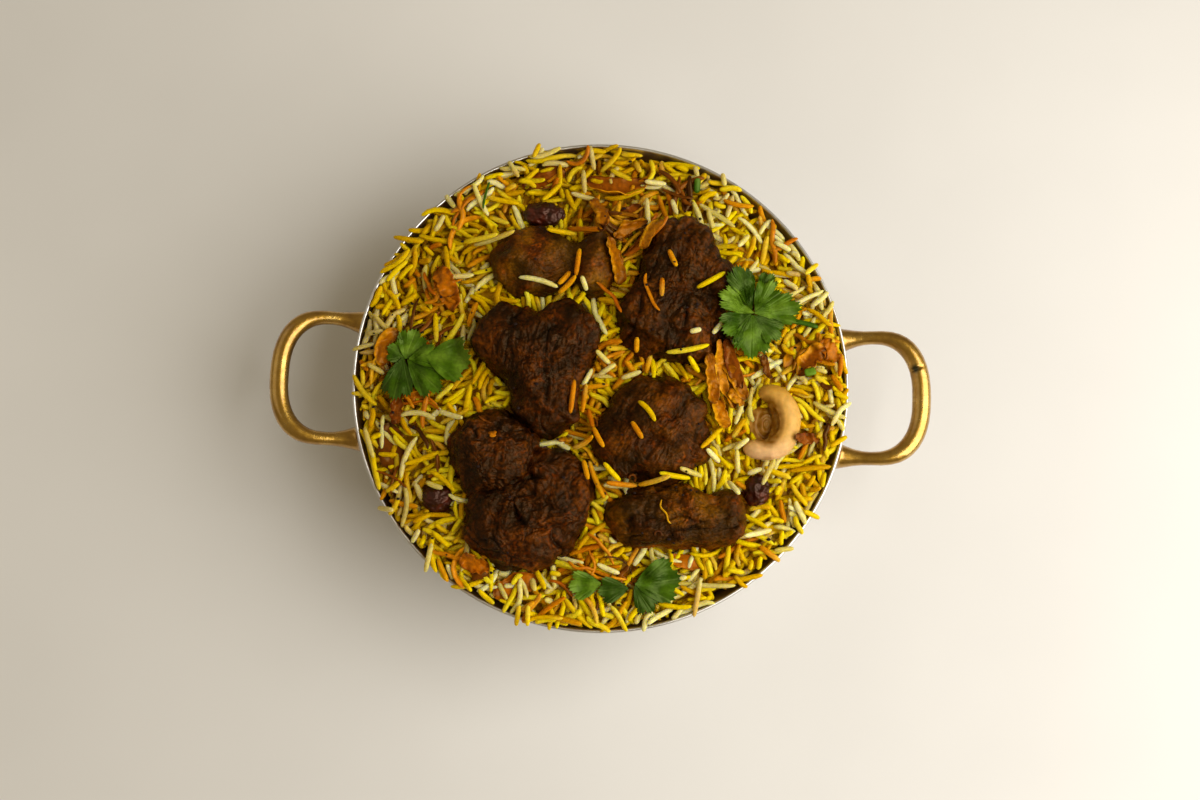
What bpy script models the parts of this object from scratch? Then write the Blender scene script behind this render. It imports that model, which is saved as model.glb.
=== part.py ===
"""Biryani heaped in a small two-handled steel pan.

The pan is a spun steel bowl with a flat base.  Two cast brass handles are
riveted to its wall.  The rice is one heap that fills the bowl and rises a
little above the rim, and the pieces of meat, the cashew, the raisins, the
fried onion and the coriander lie sunk in it or on it, each with a hair's
breadth of clearance.  Units are metres, +Z is up, +X runs through the right
handle, and the origin is under the middle of the base.
"""
import math

import bmesh
import bpy
import numpy as np
from mathutils import Euler, Matrix, Vector, noise
from mathutils.bvhtree import BVHTree

MM = 0.001
GAP = 0.3 * MM               # clearance between pieces that touch
SWELL = 0.45 * MM            # how far a pocket stands off the piece lying in it

# Pan: outside profile is one Bezier curve from the base's edge to the rim.
RIM_RADIUS = 87.5 * MM
RIM_HEIGHT = 56.0 * MM
SHEET = 1.2 * MM             # thickness of the steel
WALL_CURVE = ((42.0, 0.0), (72.0, 0.0), (85.0, 24.0), (87.5, 55.4))
WALL_STEPS = 7
PAN_SIDES = 40

# Handles: a D of brass, rising outward from a riveted pad at each root.
HANDLE_REACH = 118.3 * MM    # from the pan's axis to the outside of the bar
HANDLE_WIDTH = 50.8 * MM     # across the D
BAR_WIDTH = 6.8 * MM
BAR_HEIGHT = 6.4 * MM
TURN_START = 98.5 * MM       # where the straight arms begin to turn
TURN_STEPS = 5
BAR_SIDES = 8
ROOT_DROP = 15.0 * MM        # the bar's roots below the rim
BAR_DROP = 9.0 * MM          # the bar's outermost point below the rim
ROOT_FLARE = 1.35            # how much wider a root is than the bar
PAD_WIDTH = 14.0 * MM
PAD_TOP_DROP = 8.0 * MM
PAD_BOTTOM_DROP = 33.0 * MM
PAD_THICK = 2.4 * MM
PAD_SINK = 0.45              # share of the pad's thickness the bar's root is sunk into it
ROOT_INSET = 0.62            # root's middle from the D's outer edge, in bar widths
RIVET_DROP = 27.0 * MM
RIVET_HEAD = 3.4 * MM        # radius
RIVET_SHANK = 1.9 * MM       # radius
RIVET_SIDES = 8

# Rice: a dome whose edge lies a little under the rim, lowest at the back right.
HEAP_EDGE_DROP = 2.6 * MM
HEAP_DIP = 5.0 * MM          # how much lower the edge lies in the dip
HEAP_DIP_AZIMUTH = math.radians(55.0)
HEAP_DIP_SPREAD = math.radians(30.0)
HEAP_RISE = 9.0 * MM         # middle of the dome above its edge
HEAP_LUMPS = 1.3 * MM
HEAP_RINGS = 6

# Meat: each piece is a few round lobes grown together, in millimetres from
# the piece's own centre: (x, y, z, half width, half depth, half height).
MEATS = {
    "meat_1": ((-18.3, 41.4, 3.0), ((-6, 0, 0, 17, 12, 10.5), (15, 0.5, 1, 8, 11.5, 9.5))),
    "meat_2": ((26.4, 32.8, 4.0), ((0, 11, 1, 14, 15.5, 10), (-7, -10, 1, 15.5, 15, 11),
                                   (13, 4, -1, 11, 8, 9), (5, -13, 0, 12, 13, 10))),
    "meat_3": ((-22.4, 2.6, 5.0), ((-9, 10, 0, 14, 12.5, 11), (11, 11, 0, 12, 14, 11),
                                   (4, -10, 0, 12.5, 15, 10.5), (0, 2, 2, 13, 13, 11))),
    "meat_4": ((17.6, -16.3, 4.6), ((2, 3, 0, 17, 15, 11.5), (-4, -5, 0, 15.5, 13, 11),
                                    (7, -7, 0, 12, 11, 10))),
    "meat_5": ((-36.6, -27.4, 1.6), ((0, 0, 0, 15.5, 16, 12.5), (4, -4, 1, 10, 9, 10))),
    "meat_6": ((-23.2, -45.2, 2.5), ((-7, -4, 0, 15.5, 14.5, 11.5), (8, 4, 1, 14.5, 17, 11),
                                     (2, -11, -1, 13.5, 10.5, 10))),
    "meat_7": ((27.0, -46.8, 2.0), ((-10, -0.5, 0, 15, 11.5, 11), (9, 0, 0, 13, 10.5, 10.5),
                                    (18.5, 1.5, 0, 6.5, 10, 9))),
}
MEAT_SEGMENTS = (14, 8)
MEAT_BUMPS = 0.07            # share of its size that a piece's surface goes in and out

# Cashew: a bent nut, thick in the middle.
CASHEW_AT = (59.6, -11.4, 4.2)
CASHEW_BEND = (6.5, 10.7)    # half width and half depth of its bent middle line
CASHEW_SWEEP = (-160.0, 82.0)  # degrees from end to end, straight before -90
CASHEW_TAIL = 10.5           # length of the straight low end
CASHEW_THICK = (3.4, 4.3)    # half thickness at the ends and the middle

# Raisins: centre, then half sizes and turn in degrees.
RAISINS = {
    "raisin_1": ((-22.6, 59.4, 2.2), (7.6, 4.6, 4.2), -12.0),
    "raisin_2": ((-55.4, -43.4, 0.6), (5.9, 4.8, 4.4), -35.0),
    "raisin_3": ((55.3, -36.2, 0.8), (4.5, 5.8, 4.4), 10.0),
}
RAISIN_WRINKLE = 0.14        # share of its size that the skin goes in and out

# Fried onion: centre, length, width, bend, turn and roll, angles in degrees.
ONIONS = {
    "onion_1": ((3.2, 71.2, 1.6), 21.0, 7.4, 62.0, 180.0, 24.0),
    "onion_2": ((-23.0, 74.4, 0.6), 16.0, 7.0, 30.0, 26.0, -14.0),
    "onion_3": ((-54.6, 28.6, 4.4), 13.5, 7.0, 55.0, -58.0, 18.0),
    "onion_4": ((-77.0, 7.0, -0.4), 12.5, 5.0, 170.0, 60.0, -10.0),
    "onion_5": ((-73.0, -26.6, 0.4), 19.0, 9.0, 40.0, 104.0, 12.0),
    "onion_6": ((72.4, 12.8, 2.0), 18.5, 8.6, 50.0, 30.0, -18.0),
    "onion_7": ((44.6, 0.4, 5.4), 17.0, 6.0, 35.0, 97.0, 20.0),
    "onion_8": ((-26.8, -72.2, 0.8), 15.5, 7.6, 25.0, 28.0, 12.0),
    "onion_9": ((29.8, -61.6, 0.9), 15.5, 5.0, 40.0, -8.0, -20.0),
    "onion_10": ((7.4, 57.4, 4.6), 15.0, 6.6, 45.0, 62.0, 16.0),
    "onion_11": ((-63.8, -8.6, 1.2), 13.0, 4.0, 190.0, 200.0, 10.0),
}
ONION_THICK = 2.0            # millimetres, in the middle of a sliver

# Coriander: the point where the leaflets meet, height above what it lies on,
# then each leaflet's direction in degrees, length and half width in degrees.
CORIANDER = {
    "coriander_left": ((-67.9, 3.8), 1.4,
                       ((86.0, 12.0, 42.0), (4.0, 23.5, 22.0), (-38.0, 18.5, 20.0),
                        (-103.0, 13.5, 24.0))),
    "coriander_right": ((51.5, 23.9), 1.4,
                        ((114.0, 16.0, 28.0), (46.0, 18.5, 34.0), (-64.0, 14.5, 34.0),
                         (-148.0, 12.5, 26.0))),
    "coriander_front_left": ((1.7, -67.8), 1.4,
                             ((212.0, 13.0, 32.0), (-50.0, 12.0, 40.0))),
    "coriander_front_right": ((13.8, -70.7), 1.4,
                              ((10.0, 15.5, 44.0), (-56.0, 10.5, 26.0))),
}
LEAF_THICK = 0.8 * MM
LEAF_POINTS = 32             # round the outline
LEAF_SPAN = 3.0 * MM         # how far round a spot a leaf feels what it lies on
LEAF_FEELERS = 8


# ---------------------------------------------------------------- helpers

def clear_scene():
    for item in list(bpy.data.objects):
        bpy.data.objects.remove(item, do_unlink=True)


def material(name, colour, roughness, metallic=0.0):
    mat = bpy.data.materials.new(name)
    mat.use_nodes = True
    shader = mat.node_tree.nodes["Principled BSDF"]
    shader.inputs["Base Color"].default_value = (*colour, 1.0)
    shader.inputs["Roughness"].default_value = roughness
    shader.inputs["Metallic"].default_value = metallic
    mat.diffuse_color = (*colour, 1.0)
    return mat


def add_object(name, bm, mat=None, sharp_degrees=50.0):
    """Turns a bmesh into a named, smooth-shaded object of triangles."""
    bmesh.ops.triangulate(bm, faces=bm.faces)
    mesh = bpy.data.meshes.new(name)
    bm.to_mesh(mesh)
    bm.free()
    mesh.shade_smooth()
    mesh.set_sharp_from_angle(angle=math.radians(sharp_degrees))
    if mat:
        mesh.materials.append(mat)
    obj = bpy.data.objects.new(name, mesh)
    bpy.context.scene.collection.objects.link(obj)
    return obj


def add_cutter(name, bm):
    cutter = add_object(name, bm)
    cutter.hide_render = True
    cutter.display_type = "WIRE"
    return cutter


def boolean(obj, cutter, operation="DIFFERENCE"):
    modifier = obj.modifiers.new(cutter.name, "BOOLEAN")
    modifier.operation = operation
    modifier.solver = "EXACT"
    modifier.object = cutter


def pocket_for(obj):
    """A cutter a hair larger than obj, for the pieces that obj lies against."""
    bm = bmesh.new()
    bm.from_mesh(obj.data)
    bm.normal_update()
    shifts = [vert.normal * SWELL for vert in bm.verts]
    for vert, shift in zip(bm.verts, shifts):
        vert.co += shift
    bm.transform(obj.matrix_basis)
    return add_cutter("pocket_" + obj.name, bm)


def skin(rings):
    """A closed body through a row of point rings, with flat ends."""
    bm = bmesh.new()
    loops = [[bm.verts.new(point) for point in ring] for ring in rings]
    count = len(loops[0])
    for lower, upper in zip(loops, loops[1:]):
        for i in range(count):
            j = (i + 1) % count
            bm.faces.new((lower[i], lower[j], upper[j], upper[i]))
    bm.faces.new(reversed(loops[0]))
    bm.faces.new(loops[-1])
    bmesh.ops.recalc_face_normals(bm, faces=bm.faces)
    return bm


def circle(radius, height, sides=PAN_SIDES):
    turns = (math.tau * i / sides for i in range(sides))
    return [Vector((radius * math.cos(a), radius * math.sin(a), height)) for a in turns]


def sweep(stations, sides):
    """A closed body along stations of (centre, tangent, half width, half height).

    The section's width lies across the tangent in the XY plane.
    """
    rings = []
    for centre, tangent, half_width, half_height in stations:
        side = tangent.cross(Vector((0, 0, 1))).normalized()
        rise = side.cross(tangent).normalized()
        turns = (math.tau * i / sides for i in range(sides))
        rings.append([centre + side * half_width * math.cos(a)
                      + rise * half_height * math.sin(a) for a in turns])
    return skin(rings)


# ---------------------------------------------------------------- pan

def wall_points():
    """The outside profile, as (radius, height) from the base's edge to the rim."""
    points = []
    for i in range(WALL_STEPS + 1):
        t = i / WALL_STEPS
        weights = ((1 - t) ** 3, 3 * t * (1 - t) ** 2, 3 * t * t * (1 - t), t ** 3)
        points.append(Vector([MM * sum(w * p[k] for w, p in zip(weights, WALL_CURVE))
                              for k in (0, 1)]))
    return points


def inner_points(inset):
    """The profile moved inward by inset, square to itself."""
    outer = wall_points()
    points = []
    for i, point in enumerate(outer):
        along = outer[min(i + 1, WALL_STEPS)] - outer[max(i - 1, 0)]
        if i == 0:
            along = Vector((1.0, 0.0))
        points.append(point + Vector((-along.y, along.x)).normalized() * inset)
    return points


def radius_at(profile, height):
    """Radius of a profile's straight pieces at a height."""
    for low, high in zip(profile, profile[1:]):
        if low.y <= height <= high.y:
            return low.x + (high.x - low.x) * (height - low.y) / (high.y - low.y)
    return profile[-1].x


def wall_slope(height):
    """Unit normal of the outside wall, as (outward, up), at a height."""
    profile = wall_points()
    step = 1.0 * MM
    outward = radius_at(profile, height + step) - radius_at(profile, height - step)
    return Vector((2 * step, -outward)).normalized()


def make_pan(mat):
    outer = wall_points()
    inner = inner_points(SHEET)
    rings = [circle(p.x, p.y) for p in outer]
    rings.append(circle(RIM_RADIUS - SHEET / 2, RIM_HEIGHT))
    rings += [circle(p.x, p.y) for p in reversed(inner)]
    return add_object("pan", skin(rings), mat, 60.0)


# ---------------------------------------------------------------- handles and rivets

def handle_stations(root_azimuth):
    """The bar's centre line from one root round to the other."""
    half_bar = BAR_WIDTH / 2
    out = HANDLE_REACH - half_bar
    across = HANDLE_WIDTH / 2 - half_bar
    root_height = RIM_HEIGHT - ROOT_DROP
    bar_height = RIM_HEIGHT - BAR_DROP
    root_radius = radius_at(wall_points(), root_height) + GAP + PAD_THICK * PAD_SINK
    root = Vector((root_radius * math.cos(root_azimuth),
                   root_radius * math.sin(root_azimuth), root_height))
    half = [root]
    for share in (0.22, 0.66):
        half.append(Vector((root.x + (TURN_START - root.x) * share,
                            root.y + (across - root.y) * min(1.0, share * 1.5), 0)))
    for k in range(TURN_STEPS + 1):
        turn = math.radians(90.0 * (1 - k / TURN_STEPS))
        half.append(Vector((TURN_START + (out - TURN_START) * math.cos(turn),
                            across * math.sin(turn) ** 0.9 if k < TURN_STEPS else 0.0, 0)))
    for point in half[1:]:
        share = (point.x - root.x) / (out - root.x)
        point.z = root_height + (bar_height - root_height) * math.sin(share * math.pi / 2)
    mirrored = [Vector((p.x, -p.y, p.z)) for p in reversed(half[:-1])]
    line = half + mirrored
    stations = []
    for i, point in enumerate(line):
        tangent = line[min(i + 1, len(line) - 1)] - line[max(i - 1, 0)]
        if i == 0:
            tangent = Vector((math.cos(root_azimuth), math.sin(root_azimuth), 0))
        if i == len(line) - 1:
            tangent = Vector((-math.cos(root_azimuth), math.sin(root_azimuth), 0))
        flare = max(0.0, 1 - (point.x - root.x) / (0.8 * (TURN_START - root.x)))
        wide = half_bar * (1 + (ROOT_FLARE - 1) * flare)
        high = BAR_HEIGHT / 2 * (1 + (ROOT_FLARE - 0.6) * flare)
        stations.append((point, tangent.normalized(), wide, high))
    return stations


def pad_body(azimuth):
    """A tongue-shaped plate that follows the wall, square to it at its middle."""
    profile = wall_points()
    middle = RIM_HEIGHT - (PAD_TOP_DROP + PAD_BOTTOM_DROP) / 2
    half_height = (PAD_BOTTOM_DROP - PAD_TOP_DROP) / 2
    bm = bmesh.new()
    bmesh.ops.create_cube(bm, size=2.0)
    across = [e for e in bm.edges if abs(e.verts[0].co.y - e.verts[1].co.y) > 1]
    upright = [e for e in bm.edges if abs(e.verts[0].co.z - e.verts[1].co.z) > 1]
    bmesh.ops.subdivide_edges(bm, edges=across + upright, cuts=3, use_grid_fill=True)
    for vert in bm.verts:
        u, v = vert.co.y, vert.co.z
        narrow = (1 - abs(v) ** 5) ** 0.5 * (1 - 0.12 * (v < 0) * abs(v))
        u_round = u * max(narrow, 0.42)
        height = middle + v * half_height * (1 - 0.08 * u * u)
        out = 1.0 if vert.co.x > 0 else 0.0
        slope = wall_slope(height)
        lift = GAP + out * PAD_THICK * (1 - 0.25 * max(abs(u), abs(v)) ** 4)
        radius = radius_at(profile, height) + lift * slope.x
        turn = azimuth + u_round * PAD_WIDTH / 2 / RIM_RADIUS
        vert.co = (radius * math.cos(turn), radius * math.sin(turn), height + lift * slope.y)
    bmesh.ops.recalc_face_normals(bm, faces=bm.faces)
    return bm


def rivet_frame(azimuth):
    """Where a rivet crosses the wall's outside face, with +Z along its axis."""
    height = RIM_HEIGHT - RIVET_DROP
    radius = radius_at(wall_points(), height)
    slope = wall_slope(height)
    axis = Vector((slope.x * math.cos(azimuth), slope.x * math.sin(azimuth), slope.y))
    centre = Vector((radius * math.cos(azimuth), radius * math.sin(azimuth), height))
    return Matrix.Translation(centre) @ axis.to_track_quat("Z", "Y").to_matrix().to_4x4()


def drill(name, depth, place):
    """A round cutter along a rivet's axis, wide enough for its shank."""
    bm = bmesh.new()
    bmesh.ops.create_cone(bm, cap_ends=True, segments=RIVET_SIDES, radius1=RIVET_SHANK + GAP,
                          radius2=RIVET_SHANK + GAP, depth=depth)
    bm.transform(place)
    return add_cutter(name, bm)


def make_handle(name, side, pan, mat):
    """One handle with its two pads, and the rivets that hold it, which are returned."""
    root_azimuth = math.asin((HANDLE_WIDTH / 2 - BAR_WIDTH * ROOT_INSET) / RIM_RADIUS)
    handle = add_object(name, sweep(handle_stations(root_azimuth), BAR_SIDES), mat, 60.0)
    for end in (1, -1):
        tag = name + ("_back" if end > 0 else "_front")
        pad = add_cutter("pad_" + tag, pad_body(end * root_azimuth))
        boolean(handle, pad, "UNION")
    for end in (1, -1):
        boolean(handle, drill(f"drill_{name}_{end}", 12 * MM, rivet_frame(end * root_azimuth)))
    turn = Matrix.Rotation(0.0 if side > 0 else math.pi, 4, "Z")
    handle.matrix_world = turn
    rivets = []
    for end in (1, -1):
        place = turn @ rivet_frame(end * root_azimuth)
        boolean(pan, drill(f"hole_{name}_{end}", 8 * MM, place))
        tag = "back" if end * side > 0 else "front"
        rivets.append(make_rivet(f"rivet_{name[7:]}_{tag}", place, mat))
    for cutter in bpy.data.objects:
        if cutter.name.startswith(("pad_" + name, "drill_" + name)):
            cutter.matrix_world = turn
    return rivets


def make_rivet(name, place, mat):
    """A round-headed rivet through pad and wall, spread to a low dome inside."""
    seat = PAD_THICK + 2 * GAP
    inside = -SHEET - 2 * GAP
    profile = ((0.45 * RIVET_HEAD, inside - 0.9 * MM), (0.88 * RIVET_HEAD, inside - 0.4 * MM),
               (0.92 * RIVET_HEAD, inside), (RIVET_SHANK, inside), (RIVET_SHANK, seat),
               (RIVET_HEAD, seat), (0.86 * RIVET_HEAD, seat + 0.9 * MM),
               (0.5 * RIVET_HEAD, seat + 1.6 * MM))
    rivet = add_object(name, skin([circle(r, z, RIVET_SIDES) for r, z in profile]), mat)
    rivet.matrix_world = place
    return rivet


# ---------------------------------------------------------------- rice

def edge_height(azimuth):
    """Height of the rice where it meets the wall."""
    away = math.remainder(azimuth - HEAP_DIP_AZIMUTH, math.tau) / HEAP_DIP_SPREAD
    wave = 0.9 * MM * math.sin(3 * azimuth + 1.0) + 0.6 * MM * math.sin(7 * azimuth)
    return RIM_HEIGHT - HEAP_EDGE_DROP - HEAP_DIP * math.exp(-away * away) + wave


def rice_height(x, y):
    """Height of the rice's uneven top; the edge's dip fades out toward the middle."""
    reach = min(1.0, math.hypot(x, y) / (RIM_RADIUS - 2 * SHEET))
    level = RIM_HEIGHT - HEAP_EDGE_DROP
    dip = (edge_height(math.atan2(y, x)) - level) * reach ** 3
    near = noise.noise(Vector((x, y, 0.0)) / (11 * MM))
    far = noise.noise(Vector((x, y, 0.07)) / (27 * MM))
    lumps = HEAP_LUMPS * (near + 1.2 * far) * (1 - 0.5 * reach)
    return level + dip + HEAP_RISE * (1 - reach ** 2.2) + lumps


def make_rice(mat):
    wall = inner_points(SHEET + GAP * 1.2)
    lowest = RIM_HEIGHT - HEAP_EDGE_DROP - HEAP_DIP - 2.5 * MM
    rings = [circle(p.x, p.y) for p in wall if p.y < lowest]
    edge = []
    for i in range(PAN_SIDES):
        azimuth = math.tau * i / PAN_SIDES
        height = edge_height(azimuth)
        radius = radius_at(wall, height)
        edge.append(Vector((radius * math.cos(azimuth), radius * math.sin(azimuth), height)))
    rings.append(edge)
    for k in range(HEAP_RINGS):
        share = 1 - (k + 1) / (HEAP_RINGS + 0.6)
        ring = []
        for point in edge:
            x, y = point.x * share, point.y * share
            ring.append(Vector((x, y, rice_height(x, y))))
        rings.append(ring)
    return add_object("rice", skin(rings), mat, 70.0)


# ---------------------------------------------------------------- pieces in and on the rice

def lobed_distance(direction, lobes):
    """How far out the grown-together lobes reach from their centre."""
    reach = np.linspace(34.0, 1.0, 133)
    points = reach[:, None] * np.array(direction)[None, :]
    field = np.zeros(len(reach))
    for x, y, z, a, b, c in lobes:
        offset = (points - np.array((x, y, z))) / np.array((a, b, c))
        field += np.exp(-3.0 * ((offset ** 2).sum(axis=1) - 1.0))
    return float(reach[np.argmax(field >= 1.0)])


def make_meat(name, centre, lobes, mat):
    bm = bmesh.new()
    bmesh.ops.create_uvsphere(bm, u_segments=MEAT_SEGMENTS[0], v_segments=MEAT_SEGMENTS[1], radius=1.0)
    for vert in bm.verts:
        direction = vert.co.normalized()
        reach = lobed_distance(direction, lobes)
        bump = noise.noise(direction * 2.1 + Vector(centre) * 0.37)
        vert.co = direction * reach * (1 + MEAT_BUMPS * bump) * MM
    at = Vector(centre) * MM + Vector((0, 0, RIM_HEIGHT))
    piece = add_object(name, bm, mat, 75.0)
    piece.location = at
    return piece


def make_cashew(mat):
    start, end = (math.radians(a) for a in CASHEW_SWEEP)
    stations = []
    steps = 12
    for i in range(steps + 1):
        share = i / steps
        swept = start + (end - start) * share
        turn = max(swept, -math.pi / 2)
        tail = CASHEW_TAIL * (turn - swept) / (-math.pi / 2 - start)
        thin, thick = CASHEW_THICK
        swell = math.sin(math.pi * share)
        round_end = math.sqrt(max(0.0, 1 - abs(2 * share - 1) ** 7))
        half = (thin + (thick - thin) * swell) * max(round_end, 0.3)
        wide, deep = CASHEW_BEND
        centre = Vector((wide * math.cos(turn) - tail, deep * math.sin(turn), 0)) * MM
        tangent = Vector((-wide * math.sin(turn), deep * math.cos(turn), 0)).normalized()
        stations.append((centre, tangent, half * MM, half * 0.92 * MM))
    nut = add_object("cashew", sweep(stations, 8), mat, 75.0)
    x, y, z = CASHEW_AT
    nut.location = (x * MM, y * MM, RIM_HEIGHT + z * MM)
    nut.rotation_euler = Euler((math.radians(6), math.radians(-8), math.radians(6)))
    return nut


def make_raisin(name, centre, half, turn, mat):
    bm = bmesh.new()
    bmesh.ops.create_uvsphere(bm, u_segments=10, v_segments=6, radius=1.0)
    for vert in bm.verts:
        direction = vert.co.normalized()
        wrinkle = noise.noise(Vector((direction.x * 3, direction.y * 3, direction.z * 1.5 + half[0])))
        size = 1 + RAISIN_WRINKLE * wrinkle
        vert.co = Vector([d * h * size for d, h in zip(direction, half)]) * MM
    piece = add_object(name, bm, mat, 75.0)
    piece.location = Vector(centre) * MM + Vector((0, 0, RIM_HEIGHT))
    piece.rotation_euler = Euler((0, 0, math.radians(turn)))
    return piece


def make_onion(name, centre, length, width, bend, turn, roll, mat):
    """A curved sliver of an onion's layer, wide in the middle and narrow at its ends."""
    bend = math.radians(bend)
    radius = length / bend
    steps = 5
    stations = []
    for i in range(steps + 1):
        share = i / steps
        a = bend * (share - 0.5)
        point = Vector((radius * math.sin(a), radius * (math.cos(a) - 1), 0)) * MM
        tangent = Vector((math.cos(a), -math.sin(a), 0))
        taper = 0.3 + 0.7 * math.sin(math.pi * (0.06 + 0.88 * share)) ** 0.7
        thin = ONION_THICK / 2 * (0.6 + 0.4 * taper)
        stations.append((point, tangent, width / 2 * taper * MM, thin * MM))
    sliver = add_object(name, sweep(stations, 6), mat, 75.0)
    sliver.location = Vector(centre) * MM + Vector((0, 0, RIM_HEIGHT))
    sliver.rotation_euler = Euler((math.radians(roll), 0, math.radians(turn)))
    return sliver


def leaf_reach(azimuth, leaflets):
    """Outline of a compound leaf: the longest leaflet in a direction, toothed."""
    reach = 1.6
    for direction, length, half_width in leaflets:
        away = abs(math.remainder(azimuth - math.radians(direction), math.tau))
        share = away / math.radians(half_width)
        if share < 1.25:
            body = length * max(0.0, 1 - (share / 1.25) ** 3.2) ** 0.5
            tooth = 1 - 0.10 * (0.5 - 0.5 * math.cos(azimuth * 18.0))
            reach = max(reach, body * tooth)
    return reach


def support_height(x, y, tops):
    """Highest point of the rice or of a piece in it, within a leaf's stiffness of a spot."""
    highest = rice_height(x, y)
    for k in range(LEAF_FEELERS):
        turn = math.tau * k / LEAF_FEELERS
        spot = (x + LEAF_SPAN * math.cos(turn), y + LEAF_SPAN * math.sin(turn), 2 * RIM_HEIGHT)
        for top in tops:
            hit = top.ray_cast(Vector(spot), Vector((0, 0, -1)))[0]
            if hit:
                highest = max(highest, hit.z)
    return highest


def make_coriander(name, joint, lift, leaflets, tops, mat):
    """A compound leaf, one thin body that bends over whatever it lies on."""
    rings = {1: [], -1: []}
    for side in rings:
        for share in (0.5, 1.0):
            ring = []
            for i in range(LEAF_POINTS):
                azimuth = math.tau * i / LEAF_POINTS
                reach = leaf_reach(azimuth, leaflets) * share * MM
                x = joint[0] * MM + reach * math.cos(azimuth)
                y = joint[1] * MM + reach * math.sin(azimuth)
                thick = LEAF_THICK * (1.0 if share < 1 else 0.6)
                level = support_height(x, y, tops) + lift * MM
                ring.append(Vector((x, y, level + side * thick / 2)))
            rings[side].append(ring)
    return add_object(name, skin(rings[1] + rings[-1][::-1]), mat, 80.0)


# ---------------------------------------------------------------- the whole dish

def main():
    clear_scene()
    steel = material("stainless_steel", (0.60, 0.59, 0.57), 0.28, 1.0)
    brass = material("cast_brass", (0.62, 0.42, 0.13), 0.34, 1.0)
    grain = material("saffron_rice", (0.66, 0.44, 0.03), 0.5)
    roast = material("browned_meat", (0.075, 0.028, 0.012), 0.5)
    nut = material("fried_cashew", (0.66, 0.42, 0.17), 0.45)
    dried = material("raisin_skin", (0.06, 0.012, 0.008), 0.35)
    fried = material("fried_onion", (0.40, 0.15, 0.02), 0.35)
    herb = material("coriander_leaf", (0.06, 0.16, 0.02), 0.45)

    pan = make_pan(steel)
    rivets = []
    for name, side in (("handle_right", 1), ("handle_left", -1)):
        rivets += make_handle(name, side, pan, brass)

    heap = make_rice(grain)
    sunk = [make_meat(name, at, lobes, roast) for name, (at, lobes) in MEATS.items()]
    sunk.append(make_cashew(nut))
    sunk += [make_raisin(name, *shape, dried) for name, shape in RAISINS.items()]
    sunk += [make_onion(name, *shape, fried) for name, shape in ONIONS.items()]

    bpy.context.view_layer.update()
    pockets = []
    for piece in sunk:
        for pocket in pockets:
            if near(piece, pocket):
                boolean(piece, pocket)
        pockets.append(pocket_for(piece))
    for pocket in pockets + [pocket_for(rivet) for rivet in rivets]:
        boolean(heap, pocket)
    tops = [BVHTree.FromObject(pocket, bpy.context.evaluated_depsgraph_get()) for pocket in pockets]
    for name, shape in CORIANDER.items():
        make_coriander(name, *shape, tops, herb)


def near(piece, other):
    """Whether two objects' boxes meet."""
    low_a, high_a = box(piece)
    low_b, high_b = box(other)
    return all(low_a[k] <= high_b[k] and low_b[k] <= high_a[k] for k in range(3))


def box(obj):
    corners = [obj.matrix_basis @ vert.co for vert in obj.data.vertices]
    low = [min(c[k] for c in corners) for k in range(3)]
    high = [max(c[k] for c in corners) for k in range(3)]
    return low, high


main()
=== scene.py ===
"""Biryani in its two-handled pan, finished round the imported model.

A satin steel pan with two cast brass handles holds a heap of saffron rice.  Pieces of
browned meat, a cashew, raisins, fried onion and coriander lie sunk in the rice or on it.
Metres, +Z up, origin under the middle of the pan's base, the right handle at +X.
"""
import math
from itertools import product

import bmesh
import bpy
import numpy as np
from mathutils import Matrix, Vector


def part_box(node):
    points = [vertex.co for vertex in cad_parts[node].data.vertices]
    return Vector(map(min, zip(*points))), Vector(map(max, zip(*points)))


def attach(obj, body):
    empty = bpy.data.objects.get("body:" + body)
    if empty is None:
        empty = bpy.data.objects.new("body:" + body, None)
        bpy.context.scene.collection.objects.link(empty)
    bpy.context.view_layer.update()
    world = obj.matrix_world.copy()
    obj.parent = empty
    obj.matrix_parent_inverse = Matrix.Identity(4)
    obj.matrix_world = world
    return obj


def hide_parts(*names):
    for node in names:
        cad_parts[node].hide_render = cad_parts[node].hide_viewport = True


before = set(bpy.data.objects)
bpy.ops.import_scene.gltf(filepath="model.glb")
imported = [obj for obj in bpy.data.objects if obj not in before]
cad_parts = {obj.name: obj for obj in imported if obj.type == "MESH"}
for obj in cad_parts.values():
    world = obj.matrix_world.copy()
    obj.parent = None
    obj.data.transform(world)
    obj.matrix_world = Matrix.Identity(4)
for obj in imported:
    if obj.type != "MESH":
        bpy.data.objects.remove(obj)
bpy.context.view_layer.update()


# ---------------------------------------------------------------- studio
# A plain pale table top under one large soft light at the front right, a weaker one at
# the back left and a dim, even sky.  The camera looks almost straight down.

MM = 0.001
pan_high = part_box("pan")[1]
rim_height = pan_high.z
rim_radius = pan_high.y


def linear(hex_colour):
    """A hex colour as the linear values, with alpha, that a shader reads."""
    shares = [int(hex_colour[i:i + 2], 16) / 255 for i in (1, 3, 5)]
    return (*(c / 12.92 if c <= 0.04045 else ((c + 0.055) / 1.055) ** 2.4 for c in shares), 1.0)


def feed(material, node, inputs):
    """Gives a node's inputs their values, or links them to other nodes' outputs."""
    for name, value in inputs.items():
        if isinstance(value, bpy.types.NodeSocket):
            material.node_tree.links.new(value, node.inputs[name])
        else:
            node.inputs[name].default_value = value


def add_node(material, kind, inputs=None, stops=None, **settings):
    """Adds a node with its settings, values and links; stops are a ramp's colours."""
    node = material.node_tree.nodes.new("ShaderNode" + kind)
    for name, value in settings.items():
        setattr(node, name, value)
    if stops:
        ramp = node.color_ramp
        while len(ramp.elements) < len(stops):
            ramp.elements.new(0.5)
        for element, (place, colour) in zip(ramp.elements, stops):
            element.position = place
            element.color = linear(colour)
    feed(material, node, inputs or {})
    return node


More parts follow.
